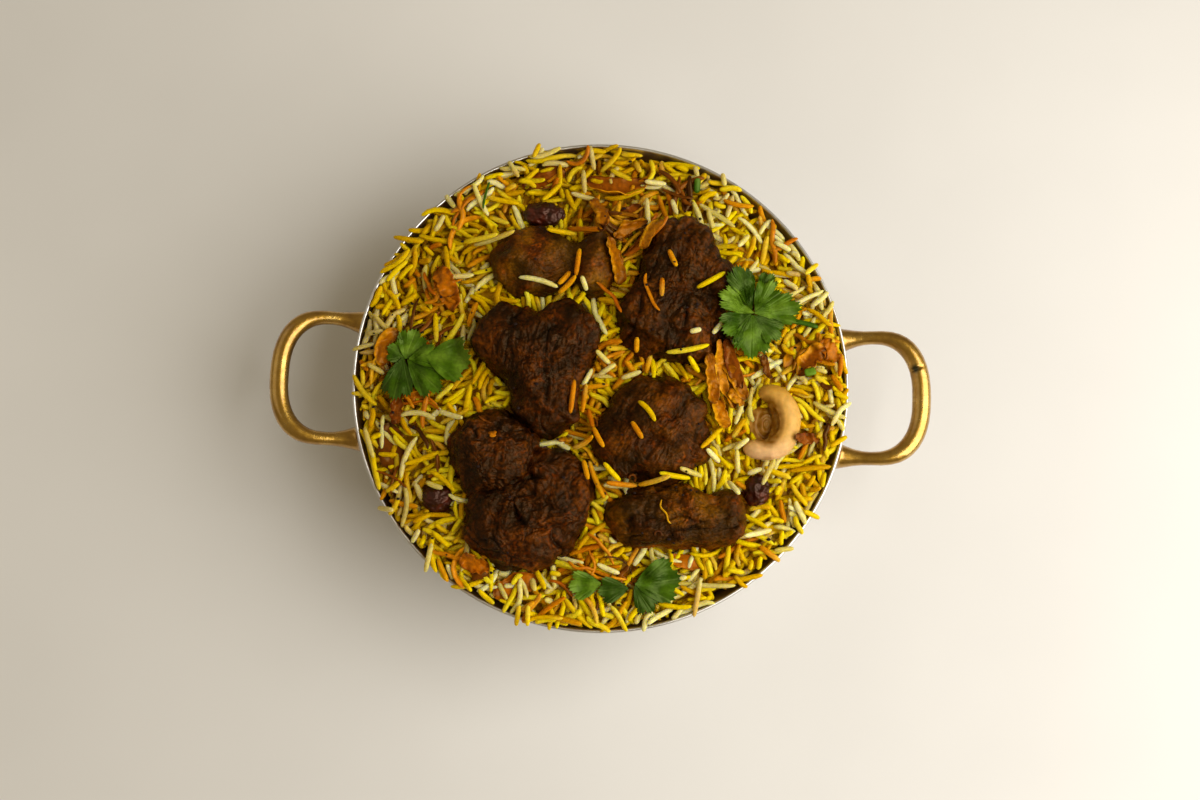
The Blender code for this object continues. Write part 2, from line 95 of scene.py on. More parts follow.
def finish_shader(material, **inputs):
    """Sets or links the shader's own sockets, named with underscores for spaces."""
    shader = material.node_tree.nodes["Principled BSDF"]
    feed(material, shader, {name.replace("_", " "): value for name, value in inputs.items()})


def new_material(name, **constants):
    material = bpy.data.materials.new(name)
    material.use_nodes = True
    finish_shader(material, **constants)
    return material


def new_object(name, mesh, material):
    piece = bpy.data.objects.new(name, mesh)
    piece.data.materials.append(material)
    bpy.context.scene.collection.objects.link(piece)
    return piece


def finish_bmesh(name, bm, material, sharp_degrees=180.0):
    """Turns a bmesh into a smooth-shaded object, its faces pointing out."""
    bmesh.ops.recalc_face_normals(bm, faces=bm.faces)
    mesh = bpy.data.meshes.new(name)
    bm.to_mesh(mesh)
    bm.free()
    mesh.shade_smooth()
    mesh.set_sharp_from_angle(angle=math.radians(sharp_degrees))
    return new_object(name, mesh, material)


# A matt painted table top: pale and soft, with faint clouds so that it isn't one flat tone.
table_top = new_material("pale_table_top", Roughness=0.6)
table_grain = add_node(table_top, "TexNoise", {"Scale": 40.0, "Detail": 3.0})
table_tone = add_node(table_top, "ValToRGB", {"Fac": table_grain.outputs["Fac"]},
                      stops=((0.3, "#d3cfc8"), (0.7, "#dad6cf")))
finish_shader(table_top, Base_Color=table_tone.outputs["Color"])
floor_bm = bmesh.new()
bmesh.ops.create_grid(floor_bm, x_segments=1, y_segments=1, size=3.0)
floor = finish_bmesh("floor", floor_bm, table_top, 60.0)


def add_light(name, place, aim, size, power):
    """A square soft light, facing the point it is aimed at."""
    lamp = bpy.data.lights.new(name, "AREA")
    lamp.size = size
    lamp.energy = power
    holder = bpy.data.objects.new(name, lamp)
    holder.location = place
    holder.rotation_euler = (Vector(aim) - Vector(place)).to_track_quat("-Z", "Y").to_euler()
    bpy.context.scene.collection.objects.link(holder)


heap_middle = (0.0, 0.0, rim_height)
add_light("key_light", (0.52, -0.10, 0.56), heap_middle, 0.85, 9.2)
add_light("back_light", (-0.80, 0.25, 0.72), heap_middle, 0.80, 0.9)
sky = bpy.data.worlds.new("sky")
sky.use_nodes = True
sky_light = sky.node_tree.nodes["Background"]
sky_light.inputs["Color"].default_value = linear("#f0dcb0")
sky_light.inputs["Strength"].default_value = 0.32
bpy.context.scene.world = sky
bpy.context.scene.view_settings.view_transform = "Standard"

CAMERA_DISTANCE = 585.85 * MM
CAMERA_HEIGHT_ANGLE = math.radians(80.34)
CAMERA_ROLL = math.radians(2.1)
camera_aim = Vector((0.0, -6.3 * MM, rim_height))
camera_back = Vector((0.0, -math.cos(CAMERA_HEIGHT_ANGLE), math.sin(CAMERA_HEIGHT_ANGLE)))
camera_data = bpy.data.cameras.new("camera")
camera_data.lens = 50.0
camera_data.clip_start = 0.01
camera = bpy.data.objects.new("camera", camera_data)
camera_turn = Matrix.Rotation(CAMERA_ROLL, 4, "Z")
camera.matrix_world = (Matrix.Translation(camera_aim + camera_back * CAMERA_DISTANCE)
                       @ camera_back.to_track_quat("Z", "Y").to_matrix().to_4x4() @ camera_turn)
bpy.context.scene.collection.objects.link(camera)
bpy.context.scene.camera = camera


# ---------------------------------------------------------------- pan
# A bowl spun from 1.2 mm stainless sheet, so its satin outside carries fine turning
# rings and its cut rim is rounded.  The flat base is 84 mm across.

SHEET = 1.2 * MM
BASE_RADIUS = 42.0 * MM
WALL_STEPS = 24              # from the base to the rim
LIP_STEPS = 6                # round the rim's edge
PAN_STEPS = 160              # round the pan
WAVE_RADIANS = 20.0          # how far the wave node turns in one unit
RING_PITCH = 4.457 * MM      # real turning rings are finer than this and wouldn't show


def wall_at(t, inset=0.0):
    """A point (radius, height) of the wall, from the base at 0 to the rim at 1."""
    knots = ((BASE_RADIUS, 0.0), (0.823 * rim_radius, 0.0), (0.971 * rim_radius, 0.43 * rim_height),
             (rim_radius, rim_height - SHEET / 2))
    weights = ((1 - t) ** 3, 3 * t * (1 - t) ** 2, 3 * t * t * (1 - t), t ** 3)
    slopes = (-3 * (1 - t) ** 2, 3 * (1 - t) * (1 - 3 * t), 3 * t * (2 - 3 * t), 3 * t * t)
    radius, height = (sum(w * k[i] for w, k in zip(weights, knots)) for i in (0, 1))
    along = Vector([sum(w * k[i] for w, k in zip(slopes, knots)) for i in (0, 1)]).normalized()
    return radius - along.y * inset, height + along.x * inset


def spin_profile(bm, profile, steps):
    """Turns a profile of (radius, height) points round the Z axis into a skin."""
    verts = [bm.verts.new((radius, 0.0, height)) for radius, height in profile]
    edges = [bm.edges.new(pair) for pair in zip(verts, verts[1:])]
    bmesh.ops.spin(bm, geom=verts + edges, axis=(0, 0, 1), cent=(0, 0, 0), angle=math.tau,
                   steps=steps, use_merge=True, use_duplicate=False)
    bmesh.ops.remove_doubles(bm, verts=bm.verts, dist=1e-6)


pan_profile = [(0.0, 0.0), (0.5 * BASE_RADIUS, 0.0)]
pan_profile += [wall_at(i / WALL_STEPS) for i in range(WALL_STEPS + 1)]
for k in range(1, LIP_STEPS):
    lip_turn = math.pi * k / LIP_STEPS
    pan_profile.append((rim_radius - SHEET / 2 * (1 - math.cos(lip_turn)),
                        rim_height - SHEET / 2 * (1 - math.sin(lip_turn))))
pan_profile += [wall_at(1 - i / WALL_STEPS, SHEET) for i in range(WALL_STEPS + 1)]
pan_profile += [(0.5 * BASE_RADIUS, SHEET), (0.0, SHEET)]
pan_bm = bmesh.new()
spin_profile(pan_bm, pan_profile, PAN_STEPS)

# Stainless steel sheet, spun and brushed to satin: a pale warm grey whose gloss is clouded
# by handling, with faint level rings that break up what it mirrors.
steel = new_material("satin_stainless_steel", Metallic=1.0)
steel_place = add_node(steel, "TexCoord")
turning = add_node(steel, "TexWave", {"Vector": steel_place.outputs["Object"],
                                      "Scale": math.tau / (WAVE_RADIANS * RING_PITCH),
                                      "Distortion": 1.2, "Detail": 3.0, "Detail Scale": 2.0},
                   wave_type="BANDS", bands_direction="Z")
steel_cloud = add_node(steel, "TexNoise", {"Vector": steel_place.outputs["Object"],
                                           "Scale": 60.0, "Detail": 5.0})
steel_tone = add_node(steel, "ValToRGB", {"Fac": steel_cloud.outputs["Fac"]},
                      stops=((0.30, "#c2beb7"), (0.70, "#dbd7d0")))
steel_rough = add_node(steel, "MapRange", {"Value": steel_cloud.outputs["Fac"],
                                           "To Min": 0.24, "To Max": 0.40})
steel_bump = add_node(steel, "Bump", {"Height": turning.outputs["Fac"], "Strength": 0.12,
                                      "Distance": 0.15 * MM})
finish_shader(steel, Base_Color=steel_tone.outputs["Color"],
              Roughness=steel_rough.outputs["Result"], Normal=steel_bump.outputs["Normal"])


def settle(piece, slot, *nodes):
    """Makes a piece part of the dish: its body and the CAD nodes it stands for; its finish, slot, is not
    used.
    """
    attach(piece, "root")
    if nodes:
        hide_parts(*nodes)


pan = finish_bmesh("pan_bowl", pan_bm, steel, 60.0)
settle(pan, "stainless_steel", "pan")


# ---------------------------------------------------------------- handles
# Two cast brass loops, each riveted to the wall through a tongue-shaped pad at either
# root.  Handling has rubbed the brass unevenly bright, and the castings are finely pitted.

HANDLE_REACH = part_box("handle_right")[1].x
HANDLE_HALF = 25.4 * MM      # from the loop's middle to the outside of an arm
BAR_HALF_WIDTH = 3.4 * MM
BAR_HALF_HEIGHT = 3.2 * MM
ROOT_ANGLE = math.asin((HANDLE_HALF - 1.24 * BAR_HALF_WIDTH) / rim_radius)
ARM_END = 98.5 * MM          # where the arms begin to turn
BOW_POWER = 0.82             # at 1 the bow would be elliptical; below 1 it is squarer
FLARE = (0.62, 0.80)         # how much wider and higher the bar is at its root
FLARE_REACH = 0.34           # share of the way out over which the root narrows
WAIST = (0.27, 0.12)         # how much narrower and lower the bar is between root and bow
LOOP_STEPS = 16              # in half a loop
LOOP_SIDES = 20
ROOT_DROP = 15.0 * MM
BAR_DROP = 9.0 * MM
PAD_DROPS = (8.0 * MM, 33.0 * MM)
PAD_HALF_WIDTH = 7.0 * MM
PAD_THICK = 2.4 * MM
PAD_GAP = 0.3 * MM
RIVET_DROP = 27.0 * MM


def wall_radius(height):
    """Outside radius of the wall at a height, and how much the radius grows upward."""
    profile = [wall_at(i / 60) for i in range(61)]
    for low, high in zip(profile, profile[1:]):
        if low[1] <= height <= high[1]:
            slope = (high[0] - low[0]) / (high[1] - low[1])
            return low[0] + slope * (height - low[1]), slope
    return rim_radius, 0.0


def loft(bm, stations, sides):
    """Bridges a closed body through rings of (centre, side, rise, half width, half height)."""
    rings = []
    for i, (centre, side, rise, wide, high) in enumerate(stations):
        capped = i in (0, len(stations) - 1)
        ring = bmesh.ops.create_circle(bm, cap_ends=capped, segments=sides, radius=1.0)["verts"]
        place = Matrix((side * wide, rise * high, side.cross(rise) * wide)).transposed().to_4x4()
        place.translation = centre
        bmesh.ops.transform(bm, matrix=place, verts=ring)
        rings.append(list({edge for vert in ring for edge in vert.link_edges}))
    for lower, upper in zip(rings, rings[1:]):
        bmesh.ops.bridge_loops(bm, edges=lower + upper)


def handle_line():
    """Centre line of one half of the loop, from its root on the wall out to the middle."""
    root_height = rim_height - ROOT_DROP
    root_radius = wall_radius(root_height)[0] + PAD_GAP
    root = Vector((root_radius * math.cos(ROOT_ANGLE), root_radius * math.sin(ROOT_ANGLE), 0.0))
    across = HANDLE_HALF - BAR_HALF_WIDTH
    out = HANDLE_REACH - BAR_HALF_WIDTH
    arm = ARM_END - root.x
    bow = math.pi / 2 * (out - ARM_END + across) / 2
    points = []
    for i in range(LOOP_STEPS + 1):
        walked = (arm + bow) * i / LOOP_STEPS
        if walked < arm:
            swing = math.sin(walked / arm * math.pi / 2)
            point = Vector((root.x + walked, root.y + (across - root.y) * swing, 0))
        else:
            turn = math.pi / 2 * (1 - (walked - arm) / bow)
            point = Vector((ARM_END + (out - ARM_END) * max(0.0, math.cos(turn)) ** BOW_POWER,
                            across * math.sin(turn) ** BOW_POWER, 0))
        share = (point.x - root.x) / (out - root.x)
        point.z = root_height + (ROOT_DROP - BAR_DROP) * math.sin(share * math.pi / 2)
        points.append(point)
    points[-1].y = 0.0
    return points


def pad_mesh(angle):
    """A tongue-shaped plate, thinner at its edges, that follows the wall."""
    bm = bmesh.new()
    bmesh.ops.create_cube(bm, size=2.0)
    bmesh.ops.subdivide_edges(bm, edges=bm.edges, cuts=9, use_grid_fill=True)
    for vert in bm.verts:
        u, v = vert.co.y, vert.co.z
        width = PAD_HALF_WIDTH * math.sqrt(max(0.05, 1 - abs(v) ** 4))
        height = rim_height - sum(PAD_DROPS) / 2 + v * (PAD_DROPS[1] - PAD_DROPS[0]) / 2
        thin = 1 - 0.45 * max(abs(u), abs(v)) ** 4
        radius = wall_radius(height)[0] + PAD_GAP + PAD_THICK * thin * (vert.co.x + 1) / 2
        turn = angle + u * width / rim_radius
        vert.co = (radius * math.cos(turn), radius * math.sin(turn), height)
    mesh = bpy.data.meshes.new("pad")
    bm.to_mesh(mesh)
    bm.free()
    return mesh


def melt(piece, cell, rounds):
    """Runs a piece's overlapping bodies into one and rounds the joins."""
    fuse = piece.modifiers.new("fuse", "REMESH")
    fuse.mode = "VOXEL"
    fuse.voxel_size = cell
    rounding = piece.modifiers.new("rounding", "SMOOTH")
    rounding.iterations = rounds
    material = piece.data.materials[0]
    ready = piece.evaluated_get(bpy.context.evaluated_depsgraph_get())
    melted = bpy.data.meshes.new_from_object(ready)
    piece.modifiers.clear()
    piece.data = melted
    melted.materials.clear()
    melted.materials.append(material)
    melted.shade_smooth()


def read_vectors(mesh, field):
    """One vector for each of a mesh's points."""
    values = np.empty(3 * len(mesh.vertices))
    mesh.vertices.foreach_get(field, values)
    return values.reshape(-1, 3)


def read_points(mesh):
    """A mesh's points in millimetres."""
    return read_vectors(mesh, "co") / MM


def write_points(mesh, points):
    mesh.vertices.foreach_set("co", (points * MM).ravel())
    mesh.update()


def swell_out(mesh, rise):
    """Moves each point out along its normal by a rise in millimetres."""
    write_points(mesh, read_points(mesh) + read_vectors(mesh, "normal") * rise[:, None])


NICK_PLACE = (112.0 * MM, 10.2 * MM, rim_height - 6.4 * MM)
NICK_WAY = (-0.35, 0.94, 0.0)    # along the bar
NICK_DEPTH = 0.95
NICK_HALF = (0.45, 2.2)      # along the bar and across it


def cut_nick(handle):
    """A small notch worn across the bar, deepest at its middle."""
    away = read_points(handle.data) - np.array(Vector(NICK_PLACE) / MM)
    run = away @ np.array(NICK_WAY)
    across = (away ** 2).sum(axis=1) - run ** 2
    share = np.exp(-(run / NICK_HALF[0]) ** 2) * np.exp(-across / NICK_HALF[1] ** 2)
    swell_out(handle.data, -NICK_DEPTH * share)


def cast_handle(name, turn):
    """One loop with both pads, melted together as a casting is."""
    half = handle_line()
    line = half + [Vector((p.x, -p.y, p.z)) for p in reversed(half[:-1])]
    stations = []
    for i, point in enumerate(line):
        along = (line[min(i + 1, len(line) - 1)] - line[max(i - 1, 0)]).normalized()
        side = along.cross(Vector((0, 0, 1))).normalized()
        rise = side.cross(along).normalized()
        walked = (point.x - half[0].x) / (HANDLE_REACH - BAR_HALF_WIDTH - half[0].x)
        flare = max(0.0, 1 - walked / FLARE_REACH) ** 1.5
        slim = math.sin(math.pi * min(1.0, walked / 0.9)) ** 2
        stations.append((point, side, rise,
                         BAR_HALF_WIDTH * (1 + FLARE[0] * flare - WAIST[0] * slim),
                         BAR_HALF_HEIGHT * (1 + FLARE[1] * flare - WAIST[1] * slim)))
    bm = bmesh.new()
    loft(bm, stations, LOOP_SIDES)
    for end in (1, -1):
        pad = pad_mesh(end * ROOT_ANGLE)
        bm.from_mesh(pad)
        bpy.data.meshes.remove(pad)
    bm.transform(Matrix.Rotation(turn, 4, "Z"))
    handle = finish_bmesh(name, bm, brass)
    melt(handle, 0.5 * MM, 7)
    return handle


# Cast brass, polished by hand and lacquered: golden yellow with darker clouds under a soft
# clear gloss, fine pits left from the mould, and green tarnish where the notch broke it.
brass = new_material("cast_brass", Metallic=1.0, Coat_Weight=1.0, Coat_Roughness=0.16)
brass_place = add_node(brass, "TexCoord")
pits = add_node(brass, "TexNoise", {"Vector": brass_place.outputs["Object"],
                                    "Scale": 1400.0, "Detail": 4.0, "Roughness": 0.6})
wear = add_node(brass, "TexNoise", {"Vector": brass_place.outputs["Object"],
                                    "Scale": 130.0, "Detail": 6.0, "Roughness": 0.65})
brass_tone = add_node(brass, "ValToRGB", {"Fac": wear.outputs["Fac"]},
                      stops=((0.28, "#885e10"), (0.50, "#b08428"), (0.75, "#cca650")))
tarnish_reach = add_node(brass, "VectorMath", {0: brass_place.outputs["Object"], 1: NICK_PLACE},
                         operation="DISTANCE")
tarnish = add_node(brass, "MapRange", {"Value": tarnish_reach.outputs["Value"],
                                       "From Min": 0.8 * MM, "From Max": 2.1 * MM,
                                       "To Min": 0.92, "To Max": 0.0})
brass_aged = add_node(brass, "MixRGB", {"Fac": tarnish.outputs["Result"],
                                        "Color1": brass_tone.outputs["Color"],
                                        "Color2": linear("#1e2a0c")})
brass_rough = add_node(brass, "MapRange", {"Value": wear.outputs["Fac"], "From Min": 0.3,
                                           "From Max": 0.7, "To Min": 0.36, "To Max": 0.24})
brass_bump = add_node(brass, "Bump", {"Height": pits.outputs["Fac"], "Strength": 0.35,
                                      "Distance": 0.2 * MM})
finish_shader(brass, Base_Color=brass_aged.outputs["Color"],
              Roughness=brass_rough.outputs["Result"], Normal=brass_bump.outputs["Normal"])

for handle_name, handle_turn in (("handle_right", 0.0), ("handle_left", math.pi)):
    handle = cast_handle("cast_" + handle_name, handle_turn)
    settle(handle, "cast_brass", handle_name)
    if handle_name == "handle_right":
        cut_nick(handle)

RIVET_PROFILE = (  # radius and height over the wall in mm, from the inner head to the outer
    (0.0, -2.7), (1.5, -2.6), (2.8, -2.1), (3.1, -1.5), (1.9, -1.5), (1.9, 2.0),
    (3.3, 2.1), (3.2, 2.9), (2.5, 3.5), (1.3, 3.9), (0.0, 4.0))
RIVET_STEPS = 24
rivet_height = rim_height - RIVET_DROP
rivet_radius, rivet_slope = wall_radius(rivet_height)
rivet_way = Vector((1.0, 0.0, -rivet_slope)).normalized().to_track_quat("Z", "Y")
for rivet_side, rivet_turn in (("right", 0.0), ("left", math.pi)):
    for end in (1, -1):
        tag = "back" if (end > 0) == (rivet_side == "right") else "front"
        rivet_bm = bmesh.new()
        spin_profile(rivet_bm, [(r * MM, z * MM) for r, z in RIVET_PROFILE], RIVET_STEPS)
        rivet_bm.transform(Matrix.Rotation(rivet_turn + end * ROOT_ANGLE, 4, "Z")
                           @ Matrix.Translation((rivet_radius, 0.0, rivet_height))
                           @ rivet_way.to_matrix().to_4x4())
        rivet = finish_bmesh(f"rivet_{rivet_side}_{tag}_head", rivet_bm, brass, 50.0)
        settle(rivet, "cast_brass", f"rivet_{rivet_side}_{tag}")


# ---------------------------------------------------------------- rice core
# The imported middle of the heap, a little lower than the heap's outline so that the
# loose grains lie on it, with relief about as coarse as grains seen end on.

CORE_DEPTH = 4.4 * MM        # how far the core lies under the heap's outline
CORE_STEPS = 200             # round the core
TOP_STEPS = 70               # from the wall to its middle
WALL_GAP = 0.5 * MM
HEAP_RADIUS = 85.1           # the heap's sizes are in millimetres over the rim
HEAP_EDGE = -2.6
HEAP_RISE = 9.0
DIP_WAY = math.radians(55.0)     # the side at which the heap is a little lower
DIP_HALF = math.radians(30.0)


class Noise:
    """Smooth gradient noise, from about -1 to 1, one unit to a cell, read at many points."""

    def __init__(self, seed):
        draw = np.random.RandomState(seed)
        self.order = draw.permutation(256)
        ways = draw.normal(size=(256, 3))
        self.ways = ways / np.linalg.norm(ways, axis=1)[:, None]

    def __call__(self, points):
        cell = np.floor(points).astype(int)
        inside = points - cell
        fade = inside ** 3 * (inside * (inside * 6 - 15) + 10)
        total = np.zeros(len(points))
        for corner in product((0, 1), repeat=3):
            at = (cell + corner) & 255
            draw = self.order[(self.order[(self.order[at[:, 0]] + at[:, 1]) & 255] + at[:, 2]) & 255]
            weight = np.where(corner, fade, 1 - fade).prod(axis=1)
            total += weight * ((inside - corner) * self.ways[draw]).sum(axis=1)
        return 1.6 * total


noise = Noise(11)


def heap_height(x, y):
    """Height above the rim, in millimetres, of the heap's smooth outline."""
    reach = np.minimum(1.0, np.hypot(x, y) / HEAP_RADIUS)
    azimuth = np.arctan2(y, x)
    away = np.remainder(azimuth - DIP_WAY + math.pi, math.tau) - math.pi
    edge = -1.0 * np.exp(-(away / DIP_HALF) ** 2)
    edge = edge + 0.9 * np.sin(3 * azimuth + 1.0) + 0.6 * np.sin(7 * azimuth)
    return HEAP_EDGE + edge * reach ** 3 + HEAP_RISE * (1 - reach ** 2.2)


core_profile = [(0.0, SHEET + WALL_GAP)]
core_profile += [wall_at(i / 16, SHEET + WALL_GAP) for i in range(14)]
top_radius = core_profile[-1][0]
top_height = 0.9 * rim_height    # only until the relief lifts the top
core_profile += [(top_radius * (1 - k / TOP_STEPS), top_height) for k in range(1, TOP_STEPS + 1)]
core_bm = bmesh.new()
spin_profile(core_bm, core_profile, CORE_STEPS)
top_verts = [vert for vert in core_bm.verts if vert.co.z > 0.999 * top_height]
top_points = np.array([vert.co for vert in top_verts]) / MM
relief = 0.55 * noise(top_points / 2.3) + 0.5 * noise(top_points / 4.1 + 9.0)
heights = heap_height(top_points[:, 0], top_points[:, 1]) - CORE_DEPTH / MM + relief
for vert, height in zip(top_verts, heights):
    vert.co.z = rim_height + height * MM

# Steamed rice packed tight and soaked with saffron water: dull amber, painted darker than the
# loose grains and darker again in its dents as shade, so that what shows between the loose
# grains reads as shaded rice.
packed_rice = new_material("packed_rice", Roughness=0.55, Specular_IOR_Level=0.2)
packed_place = add_node(packed_rice, "TexCoord")
packed_noise = add_node(packed_rice, "TexNoise", {"Vector": packed_place.outputs["Object"],
                                                  "Scale": 260.0, "Detail": 3.0})
packed_tone = add_node(packed_rice, "ValToRGB", {"Fac": packed_noise.outputs["Fac"]},
                       stops=((0.30, "#a86c00"), (0.50, "#cc9400"), (0.72, "#e0b000")))
packed_bump = add_node(packed_rice, "Bump", {"Height": packed_noise.outputs["Fac"],
                                             "Strength": 0.5, "Distance": 0.8 * MM})
finish_shader(packed_rice, Base_Color=packed_tone.outputs["Color"],
              Normal=packed_bump.outputs["Normal"])
core = finish_bmesh("rice_core", core_bm, packed_rice)
settle(core, "saffron_rice", "rice")


# ---------------------------------------------------------------- meat
# Seven pieces braised and then browned dark: muscle that has shrunk into lumps and
# folds, its fibres standing up in fine strands, coated in spices and shining with oil.

MEATS = {
    # name: lobes (x, y, z, half width, half depth, half height) from the piece's middle,
    # way of the fibres in degrees, middle (x, y) that they curl round instead of it,
    # depth and spacing of the folds, how crusty the skin is, how light and how olive it is
    "meat_1": (((-6, 0, 0, 17, 12, 10.5), (15, 0.5, 1, 8, 11.5, 9.5)),
               20.0, None, 0.5, 9.0, 0.45, 1.46, 0.75),
    "meat_2": (((0, 11, 1, 14, 15.5, 10), (-7, -10, 1, 15.5, 15, 11), (13, 4, -1, 11, 8, 9),
                (5, -13, 0, 12, 13, 10)), 72.0, None, 1.6, 9.0, 1.0, 0.78, 0.20),
    "meat_3": (((-9, 10, 0, 14, 12.5, 11), (11, 11, 0, 12, 14, 11), (4, -10, 0, 12.5, 15, 10.5),
                (0, 2, 2, 13, 13, 11)), 84.0, None, 1.1, 8.5, 0.9, 0.62, 0.0),
    "meat_4": (((2, 3, 0, 17, 15, 11.5), (-4, -5, 0, 15.5, 13, 11), (7, -7, 0, 12, 11, 10)),
               58.0, None, 0.5, 9.0, 0.65, 1.10, 0.25),
    "meat_5": (((0, 0, 0, 15.5, 16, 12.5), (4, -4, 1, 10, 9, 10)),
               0.0, (2.0, 4.0), 0.9, 6.0, 1.0, 0.72, 0.05),
    "meat_6": (((-7, -4, 0, 15.5, 14.5, 11.5), (8, 4, 1, 14.5, 17, 11), (2, -11, -1, 13.5, 10.5, 10)),
               0.0, (1.0, 9.0), 2.4, 6.5, 1.0, 0.77, 0.0),
    "meat_7": (((-10, -0.5, 0, 15, 11.5, 11), (9, 0, 0, 13, 10.5, 10.5), (18.5, 1.5, 0, 6.5, 10, 9),
                (0, 0, 1, 12, 11.5, 11)), 12.0, None, 1.1, 7.5, 0.85, 1.22, 0.60),
}


def lobe_reach(ways, lobes):
    """How far out grown-together lobes reach along each way from their middle, in mm."""
    steps = np.linspace(36.0, 1.0, 72)
    field = np.zeros((len(ways), len(steps)))
    for x, y, z, wide, deep, high in lobes:
        size = np.array((wide, deep, high))
        scaled = ways / size
        shift = np.array((x, y, z)) / size
        square = (steps ** 2 * (scaled ** 2).sum(axis=1)[:, None]
                  - 2 * steps * (scaled @ shift)[:, None] + shift @ shift)
        field += np.exp(-3.0 * (square - 1.0))
    inner = np.maximum(1, np.argmax(field >= 1.0, axis=1))
    rows = np.arange(len(ways))
    low, high = field[rows, inner - 1], field[rows, inner]
    share = (1.0 - low) / np.maximum(1e-6, high - low)
    return steps[inner - 1] + (steps[inner] - steps[inner - 1]) * np.clip(share, 0, 1)


def paint(mesh, colours):
    """Keeps a colour for each point on the mesh, for its material to read as 'tint'."""
    layer = mesh.color_attributes.new("tint", "FLOAT_COLOR", "POINT")
    layer.data.foreach_set("color", np.ascontiguousarray(colours, dtype=np.float32).ravel())


def blend_colours(low, high, share):
    """Mixes two colours, each one hex or linear values, by a share for each point."""
    low, high = (np.array(linear(c)) if isinstance(c, str) else c for c in (low, high))
    return low + (high - low) * share[:, None]


def cut_off(values):
    return np.clip(values, 0, 1)


def brown_meat(name, lobes, angle, centre, fold_depth, fold_width, crusty, lightness, olive):
    """One piece of meat, its lumps, folds and fibres pressed into the mesh."""
    bm = bmesh.new()
    bmesh.ops.create_icosphere(bm, subdivisions=7, radius=1.0)
    mesh = bpy.data.meshes.new(name)
    bm.to_mesh(mesh)
    bm.free()
    ways = read_vectors(mesh, "co")
    polar = np.arccos(np.clip(ways[:, 2], -1, 1))
    crowded = polar - 0.35 * np.sin(polar)          # more points where the piece shows
    flat = np.sin(crowded) / np.maximum(1e-9, np.sin(polar))
    ways = np.column_stack((ways[:, 0] * flat, ways[:, 1] * flat, np.cos(crowded)))
    points = ways * lobe_reach(ways, lobes)[:, None]

    low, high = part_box(name)
    middle = np.array((low + high) / 2) / MM
    size = np.array(high - low) / MM
    spread = points.max(axis=0) - points.min(axis=0)
    points = (points - (points.max(axis=0) + points.min(axis=0)) / 2) * size / spread
    top = size[2] / 2
    points[:, 2] = np.sign(points[:, 2]) * top * np.abs(points[:, 2] / top) ** 0.74
    seat = points + middle
    sway = np.column_stack([noise(seat / 9.0 + shift) for shift in (0.0, 31.0, 57.0)])
    points = points + 1.6 * sway

    if centre:
        radial = points - np.array((*centre, -6.0))
        across = np.sqrt((radial ** 2).sum(axis=1)) + 1.6 * noise(seat / 8.0 + 3.0)
        along = 9.0 * np.arctan2(radial[:, 1], radial[:, 0])
    else:
        turn = math.radians(angle)
        bent = points[:, 0] * math.sin(turn) - points[:, 1] * math.cos(turn)
        across = bent + 2.2 * noise(seat / 13.0 + 3.0)
        along = points[:, 0] * math.cos(turn) + points[:, 1] * math.sin(turn)
    depth = points[:, 2]

    def fibre(width, length, shift):
        """Ridges of about a width, drawn out along the fibres: 0 in the gaps, 1 on top."""
        at = np.column_stack((across / width, along / length, depth / (1.6 * width))) + shift
        return 1.0 - np.minimum(1.0, np.abs(noise(at)) * 2.2)

    folds = fibre(fold_width, 5.5 * fold_width, 5.0) ** 5
    folds = folds * np.clip(0.60 + 1.0 * noise(seat / 8.0 + 85.0), 0.08, 1.0)
    coarse = fibre(2.1, 12.0, 12.0)
    fine = fibre(1.0, 6.5, 20.0)
    lumps = noise(seat / 6.5 + 40.0)
    knots = noise(seat / 2.7 + 50.0)
    crumbs = noise(seat / 1.15 + 60.0)
    grit = noise(seat / 0.62 + 65.0)
    softness = np.clip(0.55 + 0.9 * noise(seat / 10.0 + 95.0), 0.15, 1.0)
    rise = (1.4 * lumps + 0.62 * crusty * knots + (0.36 * coarse + 0.20 * fine) * softness
            + crusty * (0.30 * crumbs + 0.14 * grit) - fold_depth * folds)
    write_points(mesh, points + middle)
    write_points(mesh, points + middle + read_vectors(mesh, "normal") * rise[:, None])

    # The colour partly follows the relief as painted light: folds and dents are painted near black as
    # shade, and the raised parts take glaze and olive as a painted highlight; strands and specks add the
    # meat's own tone.
    relief = (0.50 * knots + (0.36 * coarse + 0.24 * fine) * softness + 0.40 * crumbs + 0.20 * grit
              - 1.3 * folds)
    strand = noise(np.column_stack((across / 0.75, along / 5.5, depth / 1.2)))
    speck = noise(seat / 0.85 + 90.0)
    height = cut_off(0.55 + 0.19 * crusty * (relief - relief.mean()) / relief.std()
                     + 0.26 * softness * strand + 0.34 * crusty * speck)
    patch = cut_off(0.5 + 0.9 * noise(seat / 7.0 + 70.0))
    spice = cut_off(noise(seat / 1.3 + 80.0) * 3.0 - 0.7)
    oily = patch * cut_off((rim_height / MM + 4.5 - seat[:, 2]) / 4.0)
    crust_and_fold_shade, flesh, glaze_and_top_light, rust, green, oil = ("#0c0200", "#2c0e00", "#703602", "#702c00", "#4c3000",
                                             "#7a3e04")
    colours = blend_colours(crust_and_fold_shade, flesh, cut_off(height * 1.9))
    for colour, share in ((glaze_and_top_light, cut_off(height * 2.4 - 1.2) * (0.2 + 0.6 * patch)),
                          (rust, 0.38 * spice), (green, olive * patch * cut_off(height * 1.8)),
                          (oil, 0.65 * oily)):
        colours = blend_colours(colours, colour, share)
    tone = lightness * (0.34 + 1.24 * cut_off(0.53 + 1.1 * noise(seat / 9.0 + 75.0)))
    paint(mesh, colours * np.column_stack((tone, tone, tone, np.ones(len(tone)))))
    mesh.shade_smooth()
    return new_object("browned_" + name, mesh, browned)


